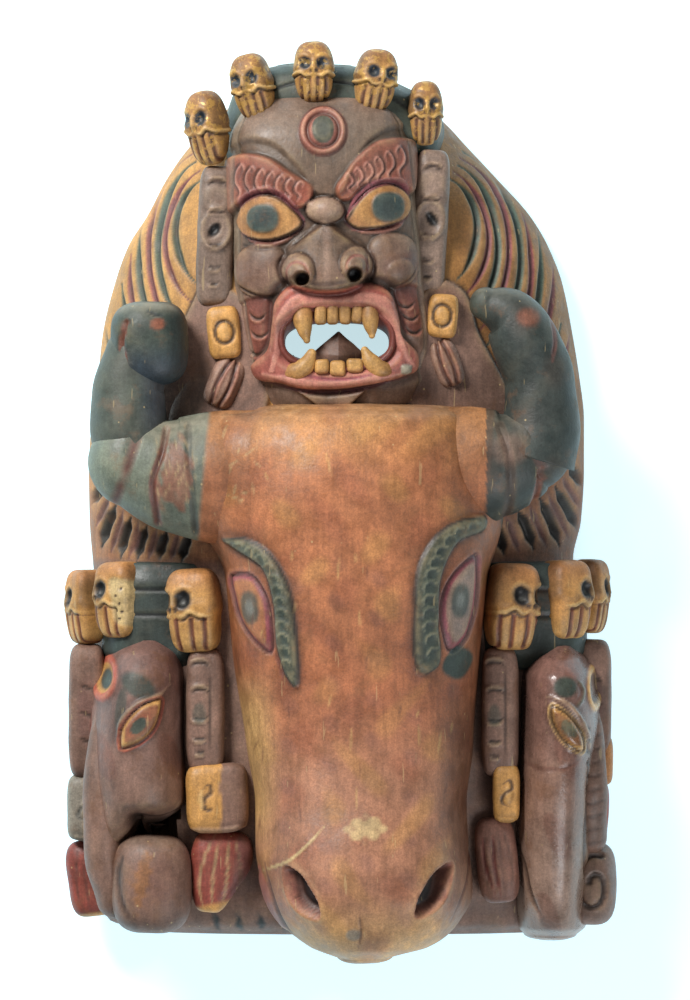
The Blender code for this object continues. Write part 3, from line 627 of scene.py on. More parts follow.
def old_paint(name, gloss=(0.42, 0.68), flecks=0.5, gold=0.0):
    """Old house paint brushed on carved wood: streaks along the grain, grime and painted shade in cuts,
    rubbed edges, dust.
    """
    f = Finish(name)
    colour = f.attribute("paint", "Color")
    broad = f.noise(22, 4.0, 0.6)
    middle = f.noise(90, 4.0, 0.65)
    fine = f.noise(420, 3.0, 0.6)
    streak = f.noise(60, 4.0, 0.65, f.stretched(5.0, 0.45, 2.0))
    for pattern, low, high, dark, light in (
        (broad, 0.34, 0.66, 0.8, 1.16), (middle, 0.36, 0.64, 0.88, 1.1), (streak, 0.36, 0.64, 0.89, 1.08),
        (f.noise(900, 2.0, 0.5), 0.35, 0.65, 0.88, 1.1), (fine, 0.35, 0.65, 0.9, 1.08),
    ):
        colour = f.shade(colour, f.between(pattern, low, high, dark, light))
    patch = f.between(f.noise(38, 5.0, 0.7), 0.54, 0.66)
    colour = f.mix(f.maths("MULTIPLY", patch, 0.3), colour, PAINT["bare_wood"])
    rubbed = f.maths("MULTIPLY", f.attribute("worn"), f.between(middle, 0.38, 0.62, 0.25, 1.0))
    light = f.mix(0.42, colour, PAINT["putty"])
    colour = f.mix(f.maths("MULTIPLY", rubbed, 0.5), colour, light)
    # Grime and painted shade: the paint is darkened towards 0.3 of itself in cuts and hollows
    dirty_and_shaded = f.maths("MULTIPLY", f.attribute("grime_and_shade"), f.between(broad, 0.25, 0.75, 0.65, 1.0))
    colour = f.mix(f.maths("MULTIPLY", dirty_and_shaded, 0.85), colour, f.shade(colour, 0.3))
    dusty = f.maths("MULTIPLY", f.attribute("dust"), f.between(middle, 0.25, 0.72, 0.35, 1.0))
    colour = f.mix(dusty, colour, PAINT["dust"])
    chip = f.between(f.spots(95), 0.085, 0.05)
    chip = f.maths("MULTIPLY", chip, f.between(f.noise(30, 2.0), 0.5, 0.58))
    colour = f.mix(f.maths("MULTIPLY", chip, flecks), colour, PAINT["putty"])
    scratch = f.between(f.noise(46, 2.0, 0.5, f.stretched(7.0, 0.8, 3.0)), 0.70, 0.73)
    colour = f.mix(f.maths("MULTIPLY", scratch, 0.35 * flecks + 0.1), colour, PAINT["putty"])
    rough = f.between(middle, 0.25, 0.75, *gloss)
    if gold:
        leaf = f.maths("MULTIPLY", f.between(f.noise(150, 4.0, 0.7), 0.5, 0.58), gold)
        colour = f.mix(leaf, colour, linear(222, 176, 92))
        rough = f.maths("SUBTRACT", rough, f.maths("MULTIPLY", leaf, 0.25))
        f.feed(f.shader.inputs["Metallic"], f.maths("MULTIPLY", leaf, 0.75))
    f.feed(f.shader.inputs["Base Color"], colour)
    f.feed(f.shader.inputs["Roughness"], rough)
    normal = f.bump(streak, 0.3, 0.0005)
    normal = f.bump(middle, 0.3, 0.0008, normal)
    normal = f.bump(fine, 0.5, 0.0004, normal)
    normal = f.bump(f.maths("ADD", chip, scratch), 0.25, -0.0003, normal)
    f.feed(f.shader.inputs["Normal"], normal)
    return f.material


def raw_wood(name):
    """Bare dark wood behind the mask: growth rings cut lengthwise as long streaks, with gouge facets."""
    f = Finish(name)
    streak = f.noise(70, 5.0, 0.65, f.stretched(4.0, 0.25, 2.0))
    broad = f.noise(14, 3.0, 0.6)
    colour = f.mix(f.between(streak, 0.3, 0.7), linear(74, 50, 34), linear(132, 94, 62))
    colour = f.shade(colour, f.between(broad, 0.3, 0.7, 0.75, 1.12))
    # Grime and painted shade: darker in the gouge hollows
    colour = f.mix(f.between(f.attribute("grime_and_shade"), 0.0, 1.0, 0.0, 0.6), colour, linear(46, 32, 24))
    f.feed(f.shader.inputs["Base Color"], colour)
    f.feed(f.shader.inputs["Roughness"], f.between(streak, 0.3, 0.7, 0.72, 0.88))
    f.feed(f.shader.inputs["Normal"], f.bump(streak, 0.6, 0.001))
    return f.material


PAINTED = old_paint("old_paint")
DULL = old_paint("dull_hair_paint", (0.5, 0.75), flecks=0.7)
GILT = old_paint("gilt_bone_paint", (0.42, 0.68), flecks=0.3, gold=0.4)
GLOSSY = old_paint("glossy_paint", (0.22, 0.42), flecks=0.25)
RAW = raw_wood("raw_wood")


def hair_strands():
    """Nested part ellipses round each ear: half sizes grow by a step, and the middle sinks as they grow."""
    sides = ((-84, 180, -1, 27.0, 6.15, 38, 11.0), (66, 181, 1, 26.0, 7.4, 37, 9.5))
    for middle_x, middle_y, side, first_x, step_x, first_y, step_y in sides:
        for k in range(10):
            angle = np.radians(np.linspace(72, -62, 15))
            wobble = 0.7 * np.sin(3.1 * angle + 1.9 * k)
            x = middle_x + side * ((first_x + step_x * k) * np.cos(angle) + wobble)
            y = middle_y - 4.2 * k + (first_y + step_y * k) * np.sin(angle)
            left, right, _ = edges(LOG, y)
            keep = (x > left + 1.5) & (x < right - 1.5) & (y > 30)
            if keep.sum() > 2:
                yield k, np.c_[x, y][keep]


# Gouges below the horns: start and end on the plan, from the outside in
LEFT_GOUGES = [((-160, 9), (-168, -2)), ((-151, -3), (-161, -31)), ((-140.5, -11), (-147.5, -38)),
               ((-129.5, -17), (-136, -39)), ((-116, -20), (-121, -39)), ((-100, -22), (-106, -40))]
RIGHT_GOUGES = [((154, 23), (165, 9)), ((145, 9), (160.5, -20)), ((134, 2), (148, -30)),
                ((119, -6), (130, -32)), ((103, -14), (110, -36))]


# The neck slopes behind the ears and tassels, which are brown and cut a step above the hair
LEFT_NECK = [(-92, 146), (-74, 142), (-60, 132), (-60, 40), (-128, 40), (-126, 52), (-120, 76),
             (-108, 112), (-98, 134)]
RIGHT_NECK = [(72, 147), (82, 141), (92, 114), (106, 87), (119, 60), (122, 40), (50, 40), (50, 134),
              (62, 144)]


# Parts of the half log: name, counts across and along, the share of its width and the part of its length
LOG_PARTS = [
    ("left_hair", 205, 235, (0.0, 0.5), (-46, 300)), ("right_hair", 205, 235, (0.5, 1.0), (-46, 300)),
    ("log_foot", 130, 70, (0.0, 1.0), (-300, -42)),
]
# The hair is hidden where another block stands this far above it, and this far above that block's foot
HIDDEN_BELOW = 7
ABOVE_FOOT = 6


def carve_hair(name, across, along, span, reach):
    """Part of the half log: hair in long grooves beside the face, or the plain foot behind the elephants."""
    points = arch_grid("log", across, along, 6, 2.0, span, reach)
    c = Carving(points, "ochre")
    # Painted shade: the hair is painted darker towards the right side
    c.tint(soft(40, 90, c.x) * 0.7, "ochre_dark")
    c.tint(soft(60, 110, c.x) * 0.3, "umber")
    c.tint(soft(60, -10, c.y) * 0.6, "brick")
    c.tint(soft(30, -20, c.y) * 0.3, "brown")
    c.tint(0.3 * soft(0.2, 0.9, np.sin(c.x / 6 + c.y / 31) * np.sin(c.y / 19 + 1)), "orange_dark")
    c.tint(soft(-36, -44, c.y), "brown")
    neck = np.maximum(c.inside(LEFT_NECK, 3.0), c.inside(RIGHT_NECK, 3.0))
    c.lift += tool_marks(c.x, c.y, 1.0, 7.0, 0.3)
    plain = c.colour.copy()
    for k, path in hair_strands():
        green = k % 2 == 0
        half, deep, paint, line = (3.4, 3.4, "strand_green", "green") if green else (2.8, 2.2, "magenta",
                                                                                     "plum")
        c.groove(path, half, deep, paint, 0.72)
        c.groove(path, 1.3, 0.4, line, 1.0, strength=0.5)
    for gouges, side in ((LEFT_GOUGES, -1), (RIGHT_GOUGES, 1)):
        for start, end in gouges:
            middle = ((start[0] + end[0]) / 2 + side * 1.6, (start[1] + end[1]) / 2)
            c.groove([start, middle, end], 4.6, 6.0, "green_dark", 0.8)
        for (a, b), (p, q) in zip(gouges[:-1], gouges[1:]):
            start = ((a[0] + p[0]) / 2, (a[1] + p[1]) / 2)
            end = ((b[0] + q[0]) / 2, (b[1] + q[1]) / 2)
            c.groove([start, end], 3.0, 1.8, "plum", 0.8, strength=0.75)
    front = soft(0.12, 0.4, normals(points)[..., 2])
    c.lift *= front
    c.colour = plain * (1 - front[..., None]) + c.colour * front[..., None]
    for k in range(4):
        c.groove([(-84 + 15 * k, -277), (-82 + 15 * k, -289)], 2.2, 1.5, "green_dark", 0.9)
    c.tint(neck, "brown")
    c.lift = c.lift * (1 - neck) + 3.0 * neck
    for edge in (LEFT_NECK[5:] + LEFT_NECK[:1], RIGHT_NECK[:6]):
        c.groove(edge, 1.6, 1.6, "umber", 0.9, False, 0.6)
    hidden, height = np.zeros(c.x.shape, bool), c.points[..., 2]
    for block, (_, base, _) in BLOCKS.items():
        if block != "log":
            covered = front_height(block, c.x, c.y) > height + HIDDEN_BELOW
            hidden |= covered & (height > base + ABOVE_FOOT)
    return finish_grid(name, c, DULL, drop=hidden)


def mouth_curve(half, spread, count):
    """A closed curve round the mouth, wider at its lower corners: a superellipse with power 2.5."""
    angle = np.linspace(0, 2 * math.pi, count, endpoint=False) + math.pi / count
    c, s = np.cos(angle), np.sin(angle)
    y = np.sign(s) * np.abs(s) ** 0.8
    x = (half[0] - spread * y) * np.sign(c) * np.abs(c) ** 0.8
    return np.c_[MOUTH_MIDDLE[0] + x, MOUTH_MIDDLE[1] + half[1] * y]


# Outlines on the face, in plan units
LEFT_BROW = [(-73, 229), (-59, 230.5), (-48.7, 228), (-34, 218.7), (-18, 205.5), (-21, 197), (-29, 195),
             (-38, 204.5), (-50, 207), (-60, 203), (-69, 194), (-73, 190)]
RIGHT_BROW = [(-2.5, 206.5), (4, 217.5), (14, 230.7), (24.7, 238.7), (38, 241), (48, 240), (49, 222),
              (46, 205), (38, 212), (27, 213.5), (15, 209), (5, 200), (0, 200)]
LEFT_EYE = [(-67.5, 186), (-63, 197), (-53, 203.5), (-43, 202.5), (-33, 195.5), (-25, 184), (-33, 177.5),
            (-45, 173.5), (-57, 174.5), (-64.5, 179)]
RIGHT_EYE = [(4.5, 186), (12, 199), (22, 208), (33, 210.5), (41, 206.5), (45.5, 197), (42, 188),
             (33, 183.5), (20, 181), (10, 181.5)]
NOSE = [(-9.5, 185), (-20, 179), (-34, 168), (-35.5, 158), (-33, 146), (-24, 141), (-8, 138.5), (6, 141),
        (16, 147), (18, 158), (15.5, 169), (2, 178)]
LIPS_OUTLINE = [(-44.5, 118.7), (-42.3, 133), (-33.5, 142.5), (-15, 139.5), (3.3, 140.5), (20, 144.5),
                (32, 139), (38, 123.5), (40, 110.7), (50, 98), (49, 87), (40.7, 83), (16.7, 78),
                (-10, 75.3), (-26, 75.8), (-38, 79), (-54, 83), (-57, 90), (-48, 100)]


def brow_flames(c, low, high, turn, count):
    """Flames cut in a brow: wavy strokes from its lower edge to its upper one, each ending in a hook."""
    wave = ((0.06, 0.0), (0.3, 2.4), (0.55, -0.6), (0.8, 0.2), (0.95, 3.0), (0.8, 4.6), (0.66, 3.4))
    for k in range(count):
        share = (k + 0.5) / count
        start = np.array(low[0]) * (1 - share) + np.array(low[1]) * share
        rise = np.array(high[0]) * (1 - share) + np.array(high[1]) * share - start
        side = np.array((rise[1], -rise[0])) / np.linalg.norm(rise) * turn
        path = np.array([start + rise * up + side * out for up, out in wave])
        c.groove(path, 1.1, 1.0, "brow_dark", 1.0, strength=0.75)
        c.ridge(path + side * 1.7, 0.8, 0.5, "pink_light", 0.6)


def shrunk(outline, across, along):
    """An outline drawn in towards the mean of its points, by a share across and a share along."""
    middle_x, middle_y = np.mean(outline, axis=0)
    return [(px + (middle_x - px) * across, py + (middle_y - py) * along) for px, py in outline]


def carve_eye(c, outline, middle, iris, radius, tilt):
    """A staring eye: a bulging ball in a sunk socket, with a dark iris, thick lids and a pink rim."""
    inside = c.inside(outline, 1.4)
    rim = c.inside(outline, 6.5)
    c.lift -= 2.2 * (rim - inside) * (rim > 0.02)
    c.tint(soft(0.03, 0.4, rim) * (1 - inside), "magenta")
    c.tint(inside, "eyeball")
    ball = c.radius(middle[0], middle[1], 25, 18, tilt)
    c.lift += inside * 5.5 * np.sqrt(np.clip(1 - (ball / 1.05) ** 2, 0, 1))
    c.tint(inside * soft(0.5, 1.0, ball) * 0.75, "brick")
    spot = c.radius(*iris, radius, radius, power=2.3)
    c.tint(inside * soft(1.35, 1.0, spot) * 0.5, "ochre_dark")
    c.tint(inside * soft(1.1, 0.86, spot), "iris")
    c.tint(inside * soft(0.8, 0.2, spot) * 0.7, "green_dark")
    c.lift += inside * 0.9 * soft(1.06, 0.9, spot)
    c.groove([*outline, outline[0]], 1.5, 1.6, "black", 0.8, False, 0.75)


def carve_nose(c):
    """The nose and cheeks: a broad wedge that rises from the root ball to the tip, with arched wings."""
    x, y = c.x, c.y
    nose = c.inside(NOSE, 5.0)
    rise = 4 + 15 * soft(188, 150, y)
    across = np.clip(np.abs(x + 9) / (9 + 18 * soft(186, 160, y)), 0, 1)
    c.lift += nose * rise * np.sqrt(np.clip(1.04 - across**2.4, 0.12, 1))
    c.tint(nose * 0.55, "taupe_dark")
    c.tint(nose * soft(4, 0, np.abs(x + 9)) * 0.5, "brown_light")
    c.groove([(-11, 184), (-22, 177), (-35, 167)], 1.6, 1.4, "umber", 0.8, strength=0.5)
    c.groove([(-8, 184), (2, 177), (16, 168)], 1.6, 1.4, "umber", 0.8, strength=0.5)
    root = c.boss(-10, 193.3, 13, 9.2, 10.5)
    c.tint(soft(1.05, 0.9, root), "brown_light")
    c.tint(soft(0.16, 0.06, np.abs(root - 1.05)) * 0.8, "umber")
    for wing_x, wing_y, hole_x, hole_y in ((-27.3, 153.0, -24.5, 148.5), (10.7, 157.5, 9.0, 151.5)):
        wing = c.boss(wing_x, wing_y, 10.8, 12.0, 9.0)
        c.tint(soft(1.05, 0.9, wing) * 0.85, "brown")
        arch = c.radius(wing_x, wing_y - 2, 6.6, 7.8)
        c.lift -= 1.6 * bell(arch, 1.0, 0.13) * soft(wing_y - 8, wing_y - 3, y)
        c.tint(soft(0.2, 0.08, np.abs(arch - 1.0)) * soft(wing_y - 8, wing_y - 3, y) * 0.5, "pink")
        hole = c.radius(hole_x, hole_y - 1.0, 5.0, 5.2)
        c.lift -= 15 * soft(1.06, 0.6, hole)
        # Painted shade: the nostril holes are painted umber and black inside
        c.tint(soft(1.12, 0.9, hole), "umber")
        c.tint(soft(0.8, 0.5, hole), "black")
    c.groove([(-36, 166), (-40, 156), (-37, 146), (-33, 141)], 2.2, 2.6, "umber", 0.8, strength=0.6)
    c.groove([(16, 168), (21.5, 160), (21.5, 150), (18, 143)], 2.2, 2.6, "umber", 0.8, strength=0.6)
    for cheek in ((-51.5, 153.5, 17.5, 18), (34.5, 160, 17, 18.5)):
        c.tint(soft(1.05, 0.85, c.boss(*cheek, 7.0, power=2.5)) * 0.6, "brown")
    c.boss(38, 152.5, 8.5, 8.5, 2.6)
    c.tint(soft(1.0, 0.5, c.radius(43, 160, 5, 9, -10)) * 0.6, "brow_dark")
    c.groove([(-68, 146), (-60, 139.5), (-50, 136), (-41, 137.5)], 1.8, 2.6, "umber", 0.8)
    c.groove([(26, 146), (34, 142.5), (43, 146.5), (49, 157)], 1.6, 1.8, "umber", 0.8, strength=0.6)
    c.groove([(-69, 172), (-55, 167.5), (-40, 167.5)], 1.4, 0.9, "umber", 0.8, strength=0.4)


def carve_lips(c):
    """The lips in a hollow painted dark as shade, with pink ridges round the hole and a tuft on the chin."""
    x, y = c.x, c.y
    lips = c.inside(LIPS_OUTLINE, 2.0)
    halo = c.inside([(px * 1.11 + 0.3, 108 + (py - 108) * 1.13) for px, py in LIPS_OUTLINE], 6.0)
    c.lift -= 3.4 * (halo - lips) * soft(70, 84, y)
    # Painted shade in the sunk ring round the lips: a shadow under the nose above them, darker below them
    c.tint((halo - lips) * soft(118, 137, y) * 0.9, "umber")
    c.tint((halo - lips) * soft(80, 70, y) * 0.5, "umber")
    c.lift += 6.0 * c.inside(LIPS_OUTLINE, 9.0) ** 0.7
    c.tint(lips, "pink")
    c.tint(lips * soft(120, 134, y) * 0.55, "red")
    c.tint(lips * soft(26, 40, np.abs(x + 2)) * 0.35, "red_dark")
    c.lift -= 6.0 * c.inside(mouth_curve((39.5, 22), 3.0, 40), 7.0)
    c.tint(c.inside(mouth_curve((38, 21), 3.0, 40), 4.0) * 0.85, "red_dark")
    c.ridge([(-43, 88), (-39, 108), (-35, 124), (-27, 133), (-10, 131.5), (4, 131.5), (18, 134.5),
             (28, 131), (34, 118), (39, 104), (45, 91)], 4.6, 1.8, "pink_light", 0.55)
    c.ridge([(-48, 86), (-30, 81), (-14, 78.5), (4, 78.5), (20, 81), (42, 86)], 3.0, 1.4, "pink_light",
            0.45)
    c.groove([(-52, 81), (-36, 76), (-20, 73.5), (0, 73), (18, 75.5), (34, 80), (46, 82)], 1.7, 2.4,
             "magenta", 0.85, strength=0.7)
    c.groove([(-30, 87), (-16, 83.2), (0, 82), (14, 83.5), (28, 87)], 1.2, 1.0, "magenta", 0.9,
             strength=0.8)
    peg = c.boss(41.3, 88.5, 3.2, 3.4, 2.6, power=4)
    c.tint(soft(1.1, 0.9, peg), "grey")
    tuft = c.inside([(-28, 74), (-17, 65), (-4.7, 57.5), (8, 65.5), (18, 75), (6, 72), (-8, 70.5),
                     (-20, 72)], 2.4, smooth=False)
    c.lift += 3.6 * tuft * soft(56, 68, y)
    c.tint(tuft * 0.5, "brown_light")
    c.groove([(-28, 75), (-17, 65.5), (-4.7, 57.5), (8, 65.5), (18, 75)], 1.3, 1.6, "umber", 0.8,
             strength=0.7)


def carve_side_panels(c):
    """The red panels beside the mouth, each sunk a little, with three hanging crescents."""
    for panel, crescents in (
        ([(-67, 132), (-47, 134), (-46, 118), (-52, 100), (-63, 93), (-68, 110)],
         [(-56, 124), (-55, 112), (-57, 100)]),
        ([(38, 142), (53, 143), (55, 126), (53, 110), (45, 112), (40, 126)],
         [(45, 132), (48, 124), (50, 115)]),
    ):
        inside = c.inside(panel, 2.4)
        c.lift -= 1.4 * inside
        c.tint(inside * 0.75, "red_dark")
        for px, py in crescents:
            path = [(px - 5.5, py + 2), (px - 3, py - 2), (px + 2, py - 3), (px + 6, py + 1)]
            c.groove(path, 1.3, 1.5, "umber", 0.9)
            c.ridge([(a, b - 1.9) for a, b in path], 1.1, 0.7, "pink", 0.5)


def mouth_hole(c, wider):
    """Where a surface is left out for the mouth: inside the hole's curve, made wider on every side."""
    hole = mouth_curve((HOLE_HALF[0] + wider, HOLE_HALF[1] + wider), 0.0, 60)
    return c.inside(hole, 0.4, smooth=False) > 0.5


def carve_face():
    """The upper head: forehead, brows, three eyes, nose, cheeks, side panels and chin."""
    points = arch_grid("upper_head", 260, 255, 8, 5.0)
    c = Carving(points, "taupe_dark")
    x, y = c.x, c.y
    c.tint(soft(170, 150, y), "brown")
    c.tint(soft(96, 70, y) * 0.75, "taupe")
    c.lift += tool_marks(x, y, 2.0, 8.0, 0.35)
    forehead = c.inside([(-78, 232), (-60, 240), (-45, 237), (-30, 224), (-12, 203), (0, 204), (10, 226),
                         (24, 243), (40, 249), (56, 244), (56, 290), (-80, 290)], 4.0)
    c.lift += 2.4 * forehead
    c.tint(forehead * soft(225, 262, y) * 0.6, "taupe")
    c.tint(forehead * soft(30, 50, x) * 0.4, "brick")
    for outline in (LEFT_BROW, RIGHT_BROW):
        inside = c.inside(outline, 3.6)
        c.lift += 4.4 * inside
        c.tint(inside, "brow_red")
        # Painted shade: the right brow is painted darker
        c.tint(inside * soft(-5, 5, x) * 0.25, "brow_dark")
        edge = c.inside(outline, 1.4) * (1 - c.inside(outline, 9.0) ** 3)
        c.tint(edge * 0.35, "red")
    c.tint(c.inside([(3, 203), (14, 222), (26, 232), (24, 216), (12, 206)], 3.0) * 0.6, "brow_dark")
    brow_flames(c, ((-70, 197), (-27, 198)), ((-70, 226), (-27, 212)), 1, 7)
    brow_flames(c, ((43, 212), (6, 203)), ((44, 238), (6, 216)), -1, 6)
    carve_eye(c, LEFT_EYE, (-46, 188), (-49.3, 188), 9.8, 0)
    carve_eye(c, RIGHT_EYE, (26, 195), (30, 195.5), 10.0, 12)
    c.ridge([(-68, 190), (-60, 202), (-47, 206.5), (-35, 200.5), (-24, 187)], 2.4, 2.6, "magenta", 0.75)
    c.ridge([(4, 189), (12, 202), (24, 211), (37, 212), (46, 202)], 2.4, 2.6, "magenta", 0.85)
    c.ridge([(-66, 181), (-56, 172.5), (-42, 171.5), (-28, 178)], 2.0, 1.8, "pink", 0.45)
    c.ridge([(8, 180), (22, 179), (36, 182), (45, 190)], 2.0, 1.8, "pink", 0.5)
    ring = c.radius(-11.3, 244.7, 1, 1)
    c.lift += 3.2 * soft(16.2, 13.5, ring) - 2.6 * bell(ring, 10.4, 1.3) + 1.6 * soft(9,
                                                                                                      5,
                                                                                                      ring)
    c.tint(soft(16.4, 14.8, ring), "pink")
    c.tint(soft(1.9, 0.9, np.abs(ring - 10.6)) * 0.9, "red_dark")
    c.tint(soft(1.6, 0.6, np.abs(ring - 15.6)) * 0.7, "red_dark")
    c.tint(soft(10.0, 9.0, ring) * 0.7, "pink")
    c.tint(soft(1.12, 0.95, c.radius(-11.3, 245, 7.0, 8.2)), "green")
    carve_nose(c)
    carve_lips(c)
    carve_side_panels(c)
    left, right, _ = edges(UPPER_HEAD, y)
    for border, way in ((left + 5.5, 1), (right - 5.5, -1)):
        line = np.abs(x - border)
        c.lift -= 0.9 * np.clip(1 - line / 1.0, 0, 1) * soft(62, 74, y) * soft(262, 250, y)
        c.tint(soft(1.3, 0.5, line) * soft(62, 74, y) * soft(262, 250, y) * 0.4, "umber")
        c.tint(soft(2.0, -1.0, (x - border) * way) * soft(60, 70, y) * 0.3, "dust")
    c.dust = 0.18 * soft(200, 262, y) * soft(0.6, 1.0, normals(points)[..., 2])
    return finish_grid("wrathful_face", c, PAINTED, drop=mouth_hole(c, 2.0) & (points[..., 2] > 100))


# Outlines on the bull's head: the almond eyes and the crescent brows
LEFT_BULL_EYE = [(-72, -49), (-60, -48), (-50, -60), (-45, -80), (-46.5, -101), (-56, -94), (-66, -80),
                 (-70.5, -64)]
RIGHT_BULL_EYE = [(88.5, -35), (79, -43), (69.5, -57), (66, -71), (67.5, -86), (73, -100), (82, -93),
                  (88, -80), (91, -60)]
LEFT_BULL_BROW = [(-74, -24), (-62, -24.5), (-50, -31), (-37, -49), (-29, -85), (-30.5, -122), (-35, -116),
                  (-40.5, -99), (-43.5, -67), (-52, -43), (-66, -33)]
LEFT_NOSTRIL = [(-34, -242), (-26, -246), (-19.4, -255.8), (-14.5, -266), (-14.2, -274.5), (-22, -272),
                (-29.8, -264), (-33.5, -252)]
RIGHT_NOSTRIL = [(71, -240), (70, -250), (66, -262), (58, -270), (50, -273), (51, -265), (56, -254),
                 (63, -244.5)]
RIGHT_BULL_BROW = [(92, -11), (78, -13), (65, -21), (53, -39), (49, -72), (56.5, -114), (61.5, -112),
                   (64, -80), (67, -47), (77, -27), (92, -18)]


def lengthwise_eye(c, outline, pupil, tilt, light):
    """A beast's eye: a sunk almond with a raised pink rim, a light ball and a tall pupil."""
    inside, rim = c.inside(outline, 2.0), c.inside(outline, 8.0)
    c.lift += 2.0 * rim - 2.4 * inside
    c.tint(soft(0.05, 0.45, rim), "pink")
    c.tint(inside, "magenta")
    core = c.inside([((x - pupil[0]) * 0.72 + pupil[0], (y - pupil[1]) * 0.8 + pupil[1]) for x,
                     y in outline], 1.5)
    c.lift += 2.2 * c.inside(outline, 12.0) ** 2
    c.tint(core, light)
    spot = c.radius(*pupil, 4.6, 9.0, tilt, 2.4)
    c.tint(soft(1.5, 1.0, spot) * inside * 0.85, "green")
    c.tint(soft(0.9, 0.2, spot) * inside * 0.7, "grey")
    c.groove([*outline, outline[0]], 1.4, 1.5, "brow_dark", 0.9, False, 0.7)


def scratch_bull(c):
    """Short pale scratches on the left of the brow and faint ones over the face, at random places."""
    picks = np.random.default_rng(5)
    for _ in range(26):
        start = np.array((-74, 20)) + picks.normal(0, 1, 2) * (9, 13)
        turn = picks.normal(0, 0.45) + (math.pi / 2 if picks.random() < 0.75 else 0)
        end = start + picks.uniform(3, 11) * np.array((math.cos(turn), math.sin(turn)))
        c.groove([start, end], 0.6, 0.25, "putty", 0.8, strength=0.55)
    for _ in range(30):
        start = np.array((picks.uniform(-60, 80), picks.uniform(-230, 30)))
        end = start + (picks.normal(0, 1.5), picks.uniform(4, 16))
        paint = ("brow_dark", "ochre_light")[int(picks.random() < 0.5)]
        c.groove([start, end], 0.7, 0.3, paint, 1.0, strength=0.45)


